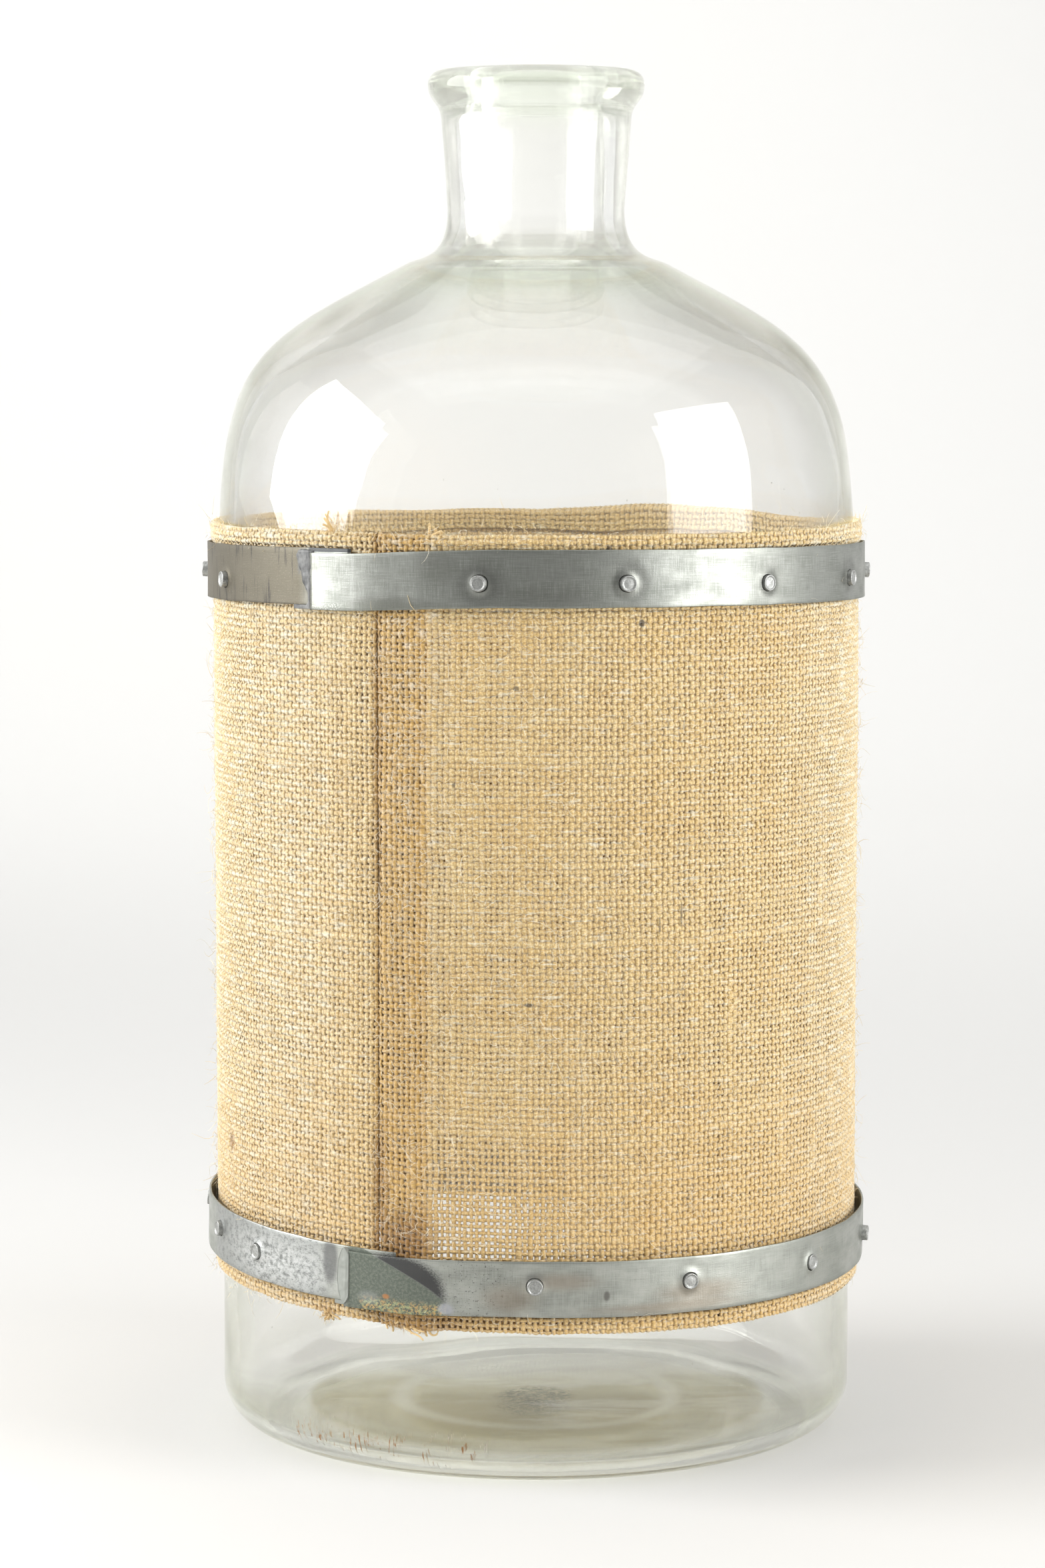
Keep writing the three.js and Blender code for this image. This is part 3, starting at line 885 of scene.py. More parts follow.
def even_yarns(length, flap, pitch):
    """Yarns a quarter of a pitch from each fold, so that the two layers' gaps don't line up."""
    count = round((length - pitch / 2) / pitch)
    pitch = length / (count + 0.5)
    extra = math.floor(flap / pitch)
    return (np.arange(-extra, count + 1 + extra) + 0.25) * pitch


def yarn_runs(folded, long_crossings, short_crossings):
    """Runs of neighbouring yarns, each small enough for one piece. The folded ones stop at the folds."""
    runs = []
    for fold_part, crossings in ((False, long_crossings), (True, short_crossings)):
        chosen = np.flatnonzero(folded == fold_part)
        for run in np.split(chosen, np.flatnonzero(np.diff(chosen) > 1) + 1):
            parts = max(1, math.ceil(len(run) * len(crossings) * 4 * SECTION / PIECE_FACES))
            runs += [(part[0], part[-1] + 1, crossings) for part in np.array_split(run, parts)]
    return runs


def build_burlap():
    """The sleeve, yarn by yarn. Returns the upright yarns with their flat sizes, and the rest."""
    material = burlap_material("burlap_yarn")
    columns = even_yarns(CLOTH_WIDTH, SEAM_FLAP, WARP_PITCH)
    rows = even_yarns(CLOTH_HEIGHT, HEM_FLAP, WEFT_PITCH)
    # Where the flaps and the hems would lie four deep, each stops short of the other.
    in_flap = (columns < -0.6 * MM) | (columns > CLOTH_WIDTH + 0.6 * MM)
    in_hem = (rows < 9 * MM) | (rows > CLOTH_HEIGHT - 12 * MM)
    sheets, crossing = [], []
    warp = yarn_runs(in_flap, rows, rows[~in_hem])
    for i, (first, last, crossings) in enumerate(warp):
        points, faces, data = yarns(first, last, columns, crossings, WARP_SEED, True)
        made = piece(f"burlap_warp_{i + 1}", points, faces, material, (), data)
        sheets.append((made, (last - first) * WARP_PITCH, crossings[-1] - crossings[0]))
    weft = yarn_runs(in_hem, columns, columns[~in_flap])
    for i, (first, last, crossings) in enumerate(weft):
        points, faces, data = yarns(first, last, rows, crossings, WEFT_SEED, False)
        crossing.append(piece(f"burlap_weft_{i + 1}", points, faces, material, (), data))
    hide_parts("burlap_sleeve")
    return sheets, crossing


# ---------------------------------------------------------------- zinc strips

PATCH = 5 * MM  # half the side of the square of strip round a punched hole
PATCH_CELLS = 12
HOLE_CELLS = 6
COLUMN_STEP = 1.5 * MM
HOLE_RADIUS = 3.3 * MM
RAMP = 24 * MM  # how fast the outer end climbs over the inner one
EDGE_STEPS = np.array([0, 0.08, 0.3]) * MM
EDGE_ROUNDING = 0.25 * MM
TO_PATCH = 5  # cells from an edge's rounding to the patches
BELOW_PATCH = len(EDGE_STEPS) + TO_PATCH - 1  # rows of the strip's grid under the patches


def strip_columns(band, at):
    """Distances along the strip from its inner end, closer together round the studs."""
    lap = band.inner_end - band.outer_end
    length = (2 * math.pi + lap) * band.radius
    columns, holes, here = [], [], 0.0
    for t in at:
        gap = t - PATCH - here
        columns += list(np.linspace(here, t - PATCH, max(2, round(gap / COLUMN_STEP)), endpoint=False))
        holes.append(len(columns))
        columns += list(t - PATCH + 2 * PATCH * np.arange(PATCH_CELLS) / PATCH_CELLS)
        here = t + PATCH
    columns += list(np.linspace(here, length, max(2, round((length - here) / COLUMN_STEP))))
    return np.array(columns), holes, length


def strip_rows(low, high, rise):
    """Heights across the strip for one column: rounded edges, and an even patch about the stud."""
    inner_low, inner_high = rise - PATCH, rise + PATCH
    rows = list(low + EDGE_STEPS)
    rows += list(np.linspace(rows[-1], inner_low, TO_PATCH + 1)[1:-1])
    rows += list(np.linspace(inner_low, inner_high, PATCH_CELLS + 1))
    top = high - EDGE_STEPS[::-1]
    rows += list(np.linspace(inner_high, top[0], TO_PATCH + 1)[1:-1])
    return np.array(rows + list(top))


def round_holes(along, across, holes, at, rises):
    """Turns the square gap in the middle of each patch into a round hole."""
    for first, t, rise in zip(holes, at, rises):
        block = (
            slice(first, first + PATCH_CELLS + 1),
            slice(BELOW_PATCH, BELOW_PATCH + PATCH_CELLS + 1),
        )
        x = (along[block] - t) / PATCH
        y = (across[block] - rise) / PATCH
        reach = np.maximum(np.abs(x), np.abs(y))
        share = np.clip((reach - 0.5) / 0.5, 0, 1)
        far = np.hypot(x, y) + 1e-9
        ring_x, ring_y = HOLE_RADIUS * x / far, HOLE_RADIUS * y / far
        along[block] = t + ring_x * (1 - share) + PATCH * x * share
        across[block] = rise + ring_y * (1 - share) + PATCH * y * share


def strip_lift(band, along, across, at, rises, length, seed):
    """How far the strip's outer face stands off its round: lap, dents, and a raised lip at each hole."""
    lap = (band.inner_end - band.outer_end) * band.radius
    lift = 0.9 * MM * smoothstep(along, length - lap - RAMP, length - lap)
    lift = lift + 0.16 * MM * smooth_noise(along, across, 0.019, seed)
    lift = lift + 0.05 * MM * smooth_noise(along, across, 0.006, seed + 1)
    for t, rise in zip(at, rises):
        gap = np.hypot(along - t, across - rise) - HOLE_RADIUS
        lift = lift + 0.4 * MM * bump_at(gap, 0, 0.7 * MM)
        lift = lift - 0.1 * MM * bump_at(gap, 2.6 * MM, 1.6 * MM)
    return lift


def build_strip(band, material, seed):
    at, rises = band.holes()
    columns, holes, length = strip_columns(band, at)
    knots = np.array([[t - PATCH, t + PATCH] for t in at]).ravel()
    middle = np.interp(columns, knots, np.repeat(rises, 2))
    angle = band.inner_end - columns / band.radius
    half = STRIP_WIDTH / 2 - 0.35 * MM * (1 + np.cos(angle)) / 2
    drop = LAP_DROP * smoothstep(columns, length - 0.075, length - 0.012)
    low = -half + 0.13 * MM * smooth_noise(columns, 0, 0.012, seed + 2) - drop
    high = half + 0.13 * MM * smooth_noise(columns, 9, 0.012, seed + 3) - drop
    across = np.stack([strip_rows(*limits) for limits in zip(low, high, middle)])
    along = np.repeat(columns[:, None], across.shape[1], 1)
    edge = np.minimum(across - low[:, None], high[:, None] - across)
    round_holes(along, across, holes, at, rises)
    lift = strip_lift(band, along, across, at, rises, length, seed)
    inset = np.clip((EDGE_STEPS[-1] - edge) / EDGE_STEPS[-1], 0, 1)
    rounding = EDGE_ROUNDING * (1 - np.sqrt(1 - inset**2))
    angle = band.inner_end - along / band.radius
    outer = band.radius + lift - rounding
    inner = band.radius + lift - STRIP_THICKNESS + rounding
    points = two_layers(outer, inner, angle, across)
    count, rows = along.shape
    solid = np.ones((count - 1, rows - 1), bool)
    gap = (PATCH_CELLS - HOLE_CELLS) // 2
    for first in holes:
        i, j = first + gap, BELOW_PATCH + gap
        solid[i : i + HOLE_CELLS, j : j + HOLE_CELLS] = False
    faces = grid_shell(solid, rows, count * rows)
    turn = np.degrees(np.tile(angle.ravel(), 2)) + 360
    data = {"turn": turn, "rise": np.tile(across.ravel(), 2) / MM}
    piece(band.name, band.place(points), faces, material, [band.name], data)


def two_layers(outer, inner, angle, rise):
    """The outer face's points and then the inner one's."""
    return np.concatenate([round_axis(r, angle, rise).reshape(-1, 3) for r in (outer, inner)])


def grid_shell(solid, rows, back):
    """Faces of a sheet with two sides: a grid whose cells are kept where solid, joined at every edge."""
    i, j = np.nonzero(solid)
    a = i * rows + j
    front = np.stack([a, a + 1, a + rows + 1, a + rows], 1)
    walls = []
    padded = np.pad(solid, 1)
    inside = padded[1:-1, 1:-1]
    sides = (
        (padded[1:-1, :-2], 0, rows),
        (padded[1:-1, 2:], rows + 1, 1),
        (padded[:-2, 1:-1], 1, 0),
        (padded[2:, 1:-1], rows, rows + 1),
    )
    for neighbour, start, end in sides:
        i, j = np.nonzero(inside & ~neighbour)
        p, q = i * rows + j + start, i * rows + j + end
        walls.append(np.stack([p, q, q + back, p + back], 1))
    return [front, front[:, ::-1] + back] + walls


def strip_places(tree):
    """Degrees round from the front, and millimetres up from the strip's middle."""
    wrap = node(None, "Math", 0, {"operation": "WRAP"}, i0=attribute(tree, "turn"), i1=180.0, i2=-180.0)
    return wrap, attribute(tree, "rise")


def zinc_material(name, stains, pale):
    """Rolled zinc, brushed both ways. pale is the sheet's own brightness beside the darker one's."""
    material, tree, surface, _ = new_material(name)
    turn, rise = strip_places(tree)
    flat = combine(times(attribute(tree, "turn"), STRIP_MM_PER_DEGREE), rise)
    lines_along = noise(flat, (0.09, 4.5, 1), 3.0, 0.65)
    lines_across = noise(flat, (3.2, 0.12, 1), 3.0, 0.65)
    cloud = noise(flat, (0.06, 0.12, 1), 4.0)
    grain = noise(flat, (1.6, 1.6, 1), 4.0, 0.6)
    weave = plus(lines_along, lines_across)
    tints = (0.24, 0.25, 0.225), (0.35, 0.36, 0.33)
    dull, bright = [colour(*(pale * c for c in tint)) for tint in tints]
    base = mix(ramp(cloud, 0.3, 0.7), bright, dull)
    base = lay_over(base, ramp(weave, 0.92, 1.25, 0.0, 0.45), colour(0.50, 0.51, 0.48))
    base = lay_over(base, ramp(weave, 0.72, 0.95, 0.5, 0.0), colour(0.22, 0.23, 0.20))
    rough = ramp(cloud, 0.3, 0.7, 0.33, 0.47)
    edge = ramp(math_node("ABSOLUTE", rise), 8.5, 11.0, 0.0, 0.35)
    base = lay_over(base, edge, colour(0.2, 0.21, 0.18))
    # stains lays on the strip's stains, and on the top strip painted shade and a painted highlight too.
    base, rough, metal = stains(turn, rise, flat, grain, base, rough)
    fill(surface, Base_Color=base, Metallic=metal, Roughness=rough)
    relief = plus(weave, times(grain, 0.8))
    fill(surface, Normal=bump(relief, 0.32, 0.00012))
    return material


STUD_SHADES = ((-9.6, 3.4), (15.0, 2.6), (41.6, 3.0), (67.4, 3.2))  # painted shade round a stud's raised dimple: the stud's degrees, and how wide


def top_stains_and_painted_light(turn, rise, flat, grain, base, rough):
    """Left of the lap the flux has browned the strip and run down it in dark drips. Painted shade lies round
    the studs' raised dimples, and a painted highlight along the crease.
    """
    brown = within(turn, -92, -41, 3)
    drips = noise(flat, (0.42, 0.035, 1), 3.0, 0.6)
    base = lay_over(base, brown, colour(0.12, 0.105, 0.075), 0.92)
    dark = times(brown, ramp(drips, 0.56, 0.66, 0.0, 0.8))
    base = lay_over(base, dark, colour(0.055, 0.05, 0.045))
    pale = times(brown, ramp(grain, 0.55, 0.75, 0.0, 0.35))
    base = lay_over(base, pale, colour(0.36, 0.33, 0.25))
    ragged = scaled(grain, 0.7, 0.5)
    lead = blot(turn, rise, (-43.2, 3), (2.2, 9.5), ragged, 0.2)
    base = lay_over(base, lead, colour(0.12, 0.122, 0.12))
    hidden = times(within(turn, -41, -30, 0.3), ramp(rise, 9.0, 9.4))
    base = lay_over(base, hidden, colour(0.045, 0.048, 0.05), 0.95)
    uneven = minus(grain, 0.5)
    # Painted shade round each stud's raised dimple, lying a little below it.
    stud_shades = [((stud + 0.5, -1.2), (size, 6.8), 0.42) for stud, size in STUD_SHADES]
    base = lay_blots(base, turn, rise, stud_shades, uneven, 0.6, colour(0.10, 0.10, 0.09))
    smudges = ((-25, -9.5), (6, 2.2), 0.5), ((-17, 4), (3, 6), 0.3), ((2, -6), (7, 3), 0.25)
    base = lay_blots(base, turn, rise, smudges, uneven, 0.8, colour(0.12, 0.12, 0.10))
    # A painted highlight along the crease where the outer end has climbed over the inner one.
    painted_crease_highlight = within(turn, -32.0, -31.4, 0.4)
    base = lay_over(base, painted_crease_highlight, colour(0.8, 0.8, 0.78), 0.1)
    fleck = times(within(turn, -40, -34, 1), ramp(rise, -8.5, -10.5), ramp(grain, 0.5, 0.6, 0.0, 0.35))
    base = lay_over(base, fleck, colour(0.75, 0.76, 0.72))
    rough = mix_value(brown, rough, 0.52)
    metal = less(less(1.0, brown, 0.25), hidden, 0.7)
    return base, rough, metal


SMUDGE = (0.27, 0.21, 0.15)


def bottom_stains(turn, rise, flat, grain, base, rough):
    """The lap's flux has left a green-grey patch, a charcoal one, pits, and corrosion low down."""
    speckle = noise(flat, (0.9, 0.9, 1), 5.0, 0.75)
    mottled = within(turn, -74, -37.5, 3)
    base = lay_over(base, mottled, colour(0.38, 0.39, 0.38), 0.8)
    coarse = noise(flat, (0.34, 0.42, 1), 6.0, 0.85)
    spots = times(mottled, ramp(coarse, 0.52, 0.38, 0.0, 0.55))
    base = lay_over(base, spots, colour(0.09, 0.095, 0.095))
    powder = blot(turn, rise, (-50, -1), (13, 9), minus(coarse, 0.5), 0.7)
    powder = times(powder, ramp(coarse, 0.42, 0.62, 0.0, 0.75))
    base = lay_over(base, powder, colour(0.68, 0.69, 0.68))
    ragged = scaled(grain, 0.35, -0.17)
    scorch = blot(turn, rise, (-36.6, 4), (1.5, 9), ragged, 0.35)
    base = lay_over(base, scorch, colour(0.10, 0.10, 0.105), 0.65)
    drop = math_node("DIVIDE", plus(rise, 10.0), 20.3)
    drop = math_node("POWER", most(drop, 0.0), 1.6)
    slant = minus(-14.4, times(drop, 15.3))
    past = plus(minus(turn, slant), ragged)
    below = ramp(past, -0.35, 0.35, 1.0, 0.0)
    green = times(below, ramp(turn, -33.6, -32.2))
    tint = mix(ramp(speckle, 0.4, 0.65), colour(0.10, 0.12, 0.095), colour(0.18, 0.20, 0.16))
    base = lay_over(base, green, tint, 0.94)
    oval = blot(turn, rise, (-24, -4), (8.7, 14), ragged, 0.12)
    coal = times(oval, minus(1.0, below))
    base = lay_over(base, coal, colour(0.045, 0.045, 0.045), 0.96)
    pits = times(within(turn, -15, -5, 3), ramp(speckle, 0.58, 0.63))
    base = lay_over(base, pits, colour(0.05, 0.05, 0.05), 0.8)
    crust = times(within(turn, -30, -15, 1), ramp(rise, -6.0, -9.5), ramp(speckle, 0.45, 0.55))
    hue = noise(flat, (0.5, 0.5, 1), 2.0)
    rust = mix(ramp(hue, 0.42, 0.6), colour(0.42, 0.45, 0.22), colour(0.62, 0.38, 0.12))
    base = lay_over(base, crust, rust, 0.75)
    places = (
        (((-25.4, -6.3), (0.6, 0.9), 0.75), 0.5, (0.50, 0.21, 0.06)),
        (((-28.6, -7.6), (1.8, 2.4), 0.2), 0.5, (0.55, 0.57, 0.56)),
        (((-15.0, -9.0), (1.3, 2.2), 0.7), 0.4, (0.45, 0.46, 0.50)),
        (((-4.5, -4), (4, 5), 0.5), 0.7, SMUDGE),
        (((4, 3), (5, 3), 0.5), 0.7, SMUDGE),
        (((28, -3), (7, 4), 0.5), 0.7, SMUDGE),
        (((23, -8), (12, 2), 0.5), 0.7, SMUDGE),
        (((11.5, -2.5), (0.5, 1.8), 0.7), 0.4, (0.12, 0.11, 0.10)),
    )
    for patch, softness, tint in places:
        base = lay_blots(base, turn, rise, [patch], ragged, softness, colour(*tint))
    flux = most(green, coal)
    rough = mix_value(flux, rough, 0.62)
    metal = less(less(less(1.0, flux, 0.7), powder, 0.5), crust, 0.25)
    return base, rough, metal


# ---------------------------------------------------------------- solder and studs

def solder_material(name, light):
    """light is how much paler the metal is than fresh lead."""
    material, tree, surface, _ = new_material(name)
    place = object_place(tree)
    streaks = noise(place, (900, 900, 160), 3.0, 0.65)
    cloud = noise(place, (260, 260, 200), 3.0)
    base = mix(ramp(cloud, 0.35, 0.65), colour(0.10, 0.101, 0.10), colour(0.22, 0.221, 0.215))
    base = lay_over(base, ramp(streaks, 0.5, 0.7, 0.0, 0.6), colour(0.07, 0.073, 0.075))
    base = lay_over(base, light, colour(0.42, 0.44, 0.40))
    fill(surface, Base_Color=base, Metallic=0.6, Roughness=ramp(cloud, 0.3, 0.7, 0.45, 0.65))
    fill(surface, Normal=bump(plus(streaks, cloud), 0.5, 0.0003))
    return material


def build_bead(band, material, degrees_wide, height, seed):
    """Solder run down the lapped end. height gives how proud it is at an angle and a rise."""
    columns, rows, low, high = 49, 91, -12.2, 10.2
    sunk, depth = 0.2, 0.55  # its edge and its back, under the strip's face
    across = np.radians(np.linspace(-degrees_wide, degrees_wide * 0.45, columns)) + band.outer_end
    up = np.linspace(low, high, rows) * MM
    angle, rise = np.meshgrid(across, up, indexing="ij")
    proud = height(np.degrees(angle - band.outer_end), rise / MM)
    proud = proud + 0.12 * smooth_noise(angle * band.radius, rise, 0.0016, seed) * (proud > 0.05)
    outer = band.radius - sunk * MM + np.maximum(proud, -sunk) * MM
    inner = np.full_like(outer, band.radius - depth * MM)
    points = two_layers(outer, inner, angle, rise)
    cells = np.ones((columns - 1, rows - 1), bool)
    faces = [f[:, ::-1] for f in grid_shell(cells, rows, angle.size)]
    name = band.name + "_solder"
    piece(name, band.place(points), faces, material, [name])


def top_bead(degrees, rise):
    """A smear beside the end, wide at the top and narrow low down, and a ridge along the end."""
    reach = np.interp(rise, [-12, -9, -6.5, 0, 5, 9.5, 10.2], [1.2, 0.7, 0.5, 2.3, 3.4, 3.2, 2.4])
    reach = reach + 0.35 * smooth_noise(rise, 0, 2.3, 61)
    smear = smoothstep(degrees, -reach - 0.25, -reach * 0.75) * 0.55
    ridge = 1.15 * bump_at(degrees, -0.15, 0.42) * smoothstep(rise, -12.4, -11)
    over = np.where(degrees > 0.05, 0.9 * smoothstep(degrees, 0.9, 0.2), smear)
    shape = np.maximum(over, ridge)
    return np.where(rise > 9.0, shape * smoothstep(rise, 10.4, 9.2), shape) + 0.12


def bottom_bead(degrees, rise):
    """A long lens of solder over the end, with a thin raised outline."""
    middle = 0.05
    half = 1.65 * np.sqrt(np.maximum(1 - (np.abs(rise + 0.6) / 11.0) ** 2, 0)) ** 1.2
    gap = half - np.abs(degrees - middle)
    body = np.interp(degrees, [-1.7, -0.8, 0.4, 0.75], [0.35, 0.75, 1.25, 1.2])
    rim = 0.28 * bump_at(gap, 0.12, 0.1)
    return np.where(gap > 0, body * smoothstep(gap, 0, 0.16) + rim + 0.2, -0.2)


def stud_material():
    material, tree, surface, _ = new_material("cut_stud_metal")
    place = object_place(tree)
    grain = noise(place, (1400, 1400, 1400), 4.0, 0.7)
    base = mix(ramp(grain, 0.35, 0.65), colour(0.46, 0.465, 0.45), colour(0.30, 0.305, 0.29))
    fill(surface, Base_Color=base, Metallic=0.9, Roughness=ramp(grain, 0.3, 0.7, 0.36, 0.55))
    fill(surface, Normal=bump(grain, 0.4, 0.0002))
    return material


def build_studs(band, material, seed):
    """Each stud: a flat head against the cloth, and a shank cut off square with its rim filed."""
    rng = np.random.default_rng(seed)
    head, thick, shank, filed = 4.3, 0.8, 3.0, 0.3  # radii, but for the head's thickness
    for name, (angle, rise, reach) in zip(band.nodes, band.studs):
        back = band.radius - STRIP_THICKNESS - 1.3 * MM
        length = 2 * (reach - back)
        crown = 0.12 + 0.1 * rng.random()
        end = length / MM
        profile = join_path(
            line([0, 0], [head, 0], 2),
            arc(head, 0.2, 0.2, -90, 0, 2),
            arc(head, thick - 0.2, 0.2, 0, 90, 2),
            line([head, thick], [shank + 0.05, thick], 2),
            line([shank + 0.05, thick], [shank, end - 0.5], 5),
            arc(shank - filed, end - filed, filed, 0, 150, 7),
            line([2.2, end - 0.4], [0, end - 0.42 + crown], 6),
        )
        points, faces = revolve(profile, 40)
        wobble = 1 + 0.02 * smooth_noise(points[:, 0] + seed, points[:, 1], 0.002, seed)
        points[:, :2] *= wobble[:, None]
        lean = Euler(tuple(np.radians(rng.normal(0, 2.0, 3)))).to_matrix()
        points = points @ np.array(lean).T
        outward = Vector((math.sin(angle), -math.cos(angle), 0))
        turn = np.array(outward.to_track_quat("Z", "Y").to_matrix())
        points = points @ turn.T + np.array(outward) * back + np.array([0, 0, rise])
        piece(name.replace("rivet", "stud"), band.place(points), faces, material, [name])


# ---------------------------------------------------------------- twine, fuzz and frayed ends

def twine_material():
    material, tree, surface, _ = new_material("seam_twine")
    place = object_place(tree)
    fibre = noise(place, (1500, 1500, 500), 3.0, 0.7)
    base = mix(ramp(fibre, 0.35, 0.65), colour(0.72, 0.60, 0.40), colour(0.50, 0.36, 0.19))
    fill(surface, Base_Color=base, Roughness=0.9, Normal=bump(fibre, 0.6, 0.0004))
    return material


def build_twine():
    """Two-ply twine that runs up the seam on the glass side, a stitch at a time."""
    stitch, twist, ply, swing = 14.5 * MM, 2.6 * MM, 0.22 * MM, 0.2 * MM
    radius, steps = BOTTLE_RADIUS + 1.0 * MM, 900
    low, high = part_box("seam_twine")[0].z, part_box("seam_twine")[1].z
    z = np.linspace(low, high, steps)
    lay = 2 * math.pi * z / twist
    sway = 0.25 * MM * np.cos(math.pi * (z - low) / stitch)
    paths = []
    for phase in (0, math.pi):
        across = sway + swing * np.cos(lay + phase)
        out = radius + swing * np.sin(lay + phase)
        angle = SEAM_ANGLE + across / radius
        paths.append(round_axis(out, angle, z))
    paths = np.array(paths)
    points, faces = tubes(paths, np.full(paths.shape[:2], ply), 8)
    piece("seam_twine_plies", points, faces, twine_material(), ["seam_twine"])


def fibre_material(name, pale):
    material, _, surface, _ = new_material(name)
    fill(surface, Base_Color=pale, Roughness=0.7, Sheen_Weight=0.3)
    return material


def fuzz_density(angle, height):
    """More loose fibres left of the seam and low in front, where the cloth has been rubbed."""
    left = bump_at(np.degrees(angle), -50, 22)
    front = bump_at(np.degrees(angle), 2, 22) * bump_at(height, 0.16, 0.06)
    beside = bump_at(np.degrees(angle), -22, 7)
    return 0.3 + 0.35 * left + 0.5 * front + 0.35 * beside


def build_fuzz(name, count, seed, material, side):
    """Loose jute fibres that curl off the face of the cloth. side is how far round they grow."""
    rng = np.random.default_rng(seed)
    trial = count * 4
    angle = rng.uniform(side[0], side[1], trial)
    height = rng.uniform(SLEEVE_LOW + 1 * MM, SLEEVE_HIGH + 1 * MM, trial)
    above = height - TOP.height - TOP.rise_at(angle)
    below = height - BOTTOM.height - BOTTOM.rise_at(angle)
    clear = STRIP_WIDTH / 2 + 0.5 * MM
    keep = (np.abs(above) > clear) & (np.abs(below) > clear)
    keep &= rng.random(trial) < fuzz_density(angle, height)
    angle, height = angle[keep][:count], height[keep][:count]
    count, steps = len(angle), 5
    length = rng.gamma(2.0, 1.5, count) * MM + 1.2 * MM
    heading = rng.uniform(0, 2 * math.pi, count)
    curl = rng.normal(0, 2.0, count)
    lift = rng.uniform(0.1, 0.9, count) ** 1.5
    bend = rng.normal(-0.9, 0.9, count)
    s = np.linspace(0, 1, steps)
    direction = heading[:, None] + curl[:, None] * s
    climb = lift[:, None] + bend[:, None] * s
    step = length[:, None] / (steps - 1)
    u = np.cumsum(np.cos(direction) * np.cos(climb) * step, 1)
    v = np.cumsum(np.sin(direction) * np.cos(climb) * step, 1)
    w = np.cumsum(np.sin(climb) * step, 1)
    face = outer_radius(angle, height)[:, None] + 0.55 * MM
    radius = np.maximum(face + w, face)
    turn = angle[:, None] + u / radius
    paths = round_axis(radius, turn, height[:, None] + v)
    thick = rng.uniform(0.05, 0.12, count)[:, None] * MM * (1 - 0.65 * s[None, :])
    points, faces = tubes(paths, thick, 3)
    return piece(name, points, faces, material)


STRAND_STEPS = 14
DROOP = 0.25  # how fast a loose thread falls


def strand(rng, start, heading, length, wobble):
    """One loose thread's path from its root. heading is a direction."""
    direction = np.array(heading, float)
    place = np.array(start, float)
    path = [place.copy()]
    for _ in range(STRAND_STEPS - 1):
        direction += np.array([0, 0, -DROOP]) / STRAND_STEPS + rng.normal(0, wobble, 3)
        direction /= np.linalg.norm(direction)
        place = place + direction * length / (STRAND_STEPS - 1)
        path.append(place.copy())
    return np.array(path)


def directions(degrees):
    """Outwards and to the side, at an angle round from the front."""
    a = math.radians(degrees)
    return np.array([math.sin(a), -math.cos(a), 0]), np.array([math.cos(a), math.sin(a), 0])


def on_hem(degrees, height, off=0.0):
    sag = float(hem_sag(np.array(math.radians(degrees)), np.array(height)))
    return (CLOTH_RADIUS + off) * directions(degrees)[0] + np.array([0, 0, height + sag])


def tuft(rng, degrees, height, aims, length, threads, spread, off=0.0):
    """A frayed bunch: many thin strands from nearly one place."""
    out, side = directions(degrees)
    paths = []
    for _ in range(threads):
        start = on_hem(degrees + rng.normal(0, 0.35), height, off) + rng.normal(0, 0.3, 3) * MM
        aim = aims[0] * side + aims[1] * out + np.array([0, 0, aims[2]]) + rng.normal(0, spread, 3)
        reach = length * rng.uniform(0.6, 1.1)
        wobble = 0.3 if threads > 9 else 0.12
        paths.append(strand(rng, start, aim / np.linalg.norm(aim), reach, wobble))
    return paths


def loop(degrees, height, size):
    """A pulled loop of yarn that hangs from the hem."""
    centre = on_hem(degrees, height, 0.6 * MM) + np.array([0, 0, -size * 0.6])
    side = directions(degrees)[1]
    turn = np.linspace(0.15 * math.pi, 1.85 * math.pi, STRAND_STEPS) + math.pi / 2
    return centre + np.outer(np.cos(turn), side) * size + np.outer(np.sin(turn), [0, 0, 1]) * size


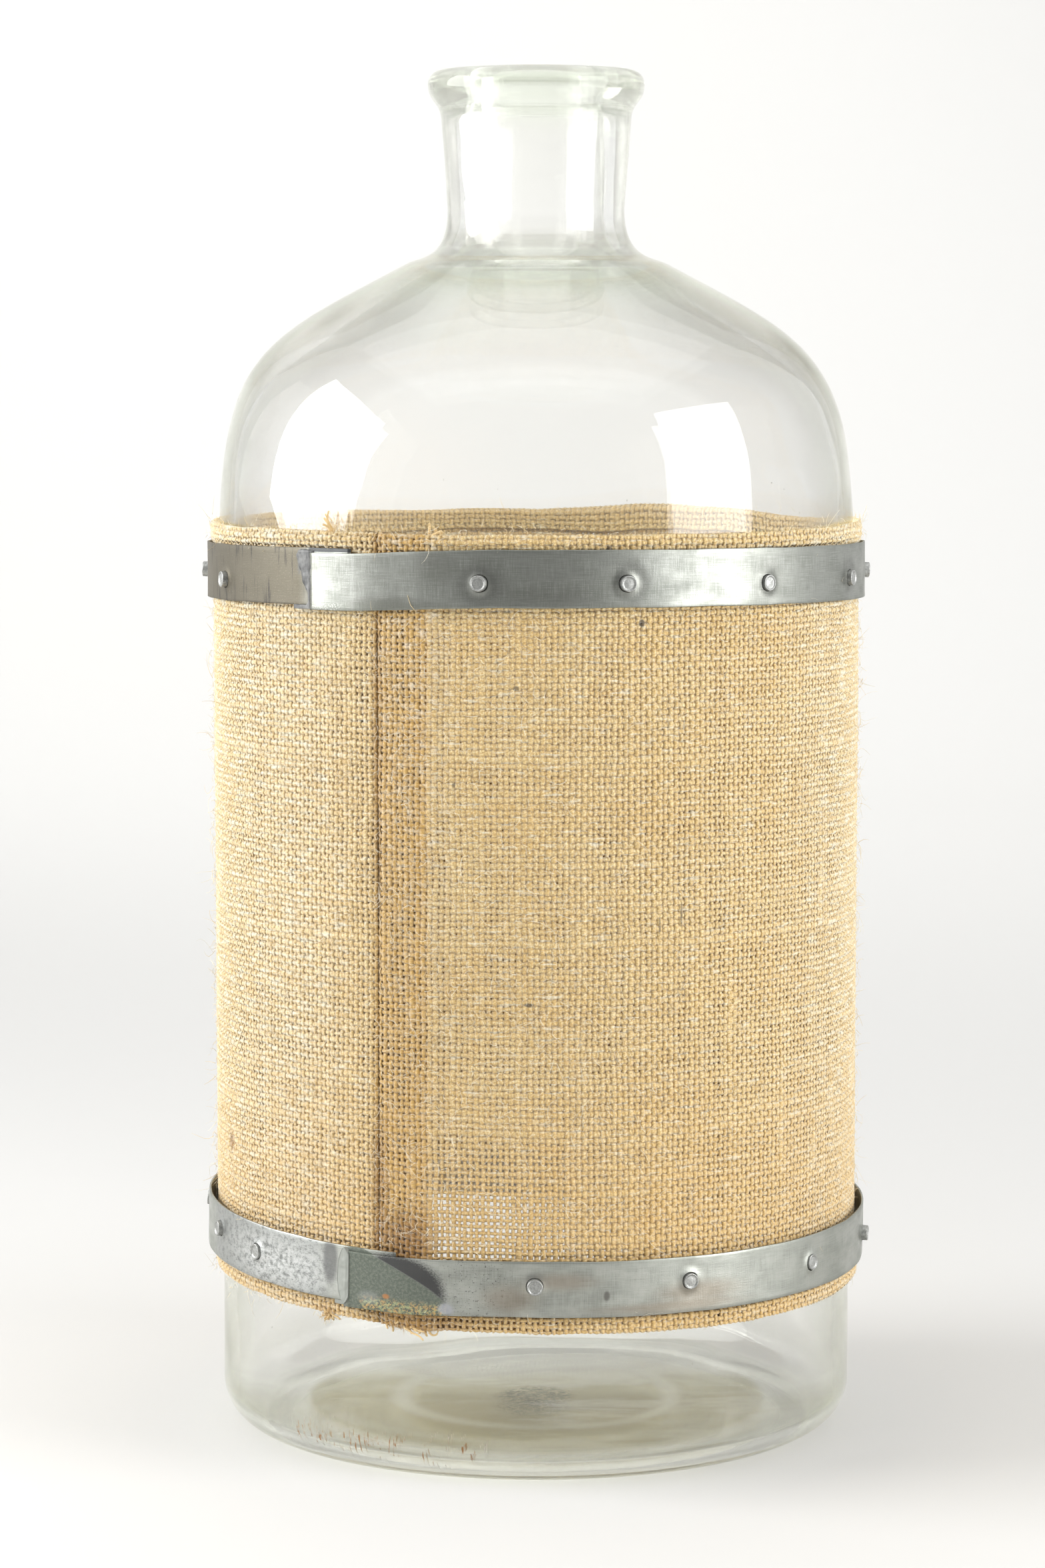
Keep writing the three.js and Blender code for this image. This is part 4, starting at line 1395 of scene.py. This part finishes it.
def build_frays():
    rng = np.random.default_rng(5)
    top, bottom = SLEEVE_HIGH - 1.5 * MM, SLEEVE_LOW + 1.5 * MM
    thick, thin = [], []
    thick += tuft(rng, -36.4, top, (-0.5, 0.2, 0.9), 9 * MM, 5, 0.12)
    thin += tuft(rng, -36.4, top, (-0.4, 0.2, 0.9), 8 * MM, 24, 0.3)
    thin += tuft(rng, -27.6, top, (0.9, 0.3, 0.35), 11 * MM, 20, 0.2)
    thin += tuft(rng, -31, top, (0.2, 0.3, 0.9), 4.5 * MM, 40, 0.7)
    thick += tuft(rng, -18.2, top, (0.9, 0.1, 0.25), 6 * MM, 7, 0.25, -1 * MM)
    thin += tuft(rng, -17, top, (0.4, 0.1, 0.8), 5 * MM, 34, 0.5, -1 * MM)
    thick += tuft(rng, -38.6, bottom, (0.05, 0.1, -1), 5.5 * MM, 14, 0.22)
    thin += tuft(rng, -38.6, bottom, (0.0, 0.1, -1), 6.5 * MM, 60, 0.35)
    for degrees in np.linspace(-26, -18.5, 9):
        thick += tuft(rng, degrees, bottom, (0.7, 0.2, -0.45), 3.6 * MM, 2, 0.35)
        thin += tuft(rng, degrees, bottom, (0.6, 0.2, -0.5), 4 * MM, 16, 0.45)
    thick += tuft(rng, -24, bottom, (1, 0.1, -0.25), 12 * MM, 2, 0.08)
    thick += tuft(rng, -22, bottom, (1, 0.15, -0.12), 8 * MM, 2, 0.1)
    thick.append(loop(-17.7, bottom, 1.7 * MM))
    for degrees in rng.uniform(-180, 180, 90):
        thin += tuft(rng, degrees, top, (rng.normal(), 0.4, 0.8), 2.6 * MM, 2, 0.5)
        thin += tuft(rng, degrees, bottom, (rng.normal(), 0.4, -0.6), 2.4 * MM, 2, 0.5)
    taper = np.linspace(1, 0.35, STRAND_STEPS)
    thick, thin = np.array(thick), np.array(thin)
    widths = rng.uniform(0.38, 0.6, len(thick))[:, None] * MM * (0.5 + 0.5 * taper)
    points, faces = tubes(thick, widths, 7)
    fine, more = tubes(thin, rng.uniform(0.06, 0.13, len(thin))[:, None] * MM * taper, 3)
    faces += [f + len(points) for f in more]
    points = np.concatenate([points, fine])
    yarn = fibre_material("frayed_yarn", colour(0.78, 0.57, 0.28))
    return piece("burlap_frays", points, faces, yarn)


build_camera()
build_stage()
build_light()
build_bottle()
sheets, crossing = build_burlap()
build_strip(TOP, zinc_material("browned_zinc", top_stains_and_painted_light, pale=0.95), seed=51)
build_strip(BOTTOM, zinc_material("fluxed_zinc", bottom_stains, pale=1.3), seed=71)
build_bead(TOP, solder_material("dull_solder", light=0.0), 4.2, top_bead, seed=81)
build_bead(BOTTOM, solder_material("chalky_solder", light=0.7), 2.2, bottom_bead, seed=91)
metal = stud_material()
build_studs(TOP, metal, seed=300)
build_studs(BOTTOM, metal, seed=400)
build_twine()
pale = fibre_material("loose_fibre", colour(0.93, 0.86, 0.68))
tan = fibre_material("loose_tan_fibre", colour(0.86, 0.68, 0.38))
fibres = 7500
whole = (-math.pi, math.pi)
fuzz = [
    build_fuzz("burlap_fuzz_1", fibres, 77, pale, whole),
    build_fuzz("burlap_fuzz_2", fibres, 78, tan, whole),
    build_fuzz("burlap_fuzz_3", fibres // 2, 79, pale, np.radians((-60, 60))),
]
frays = build_frays()
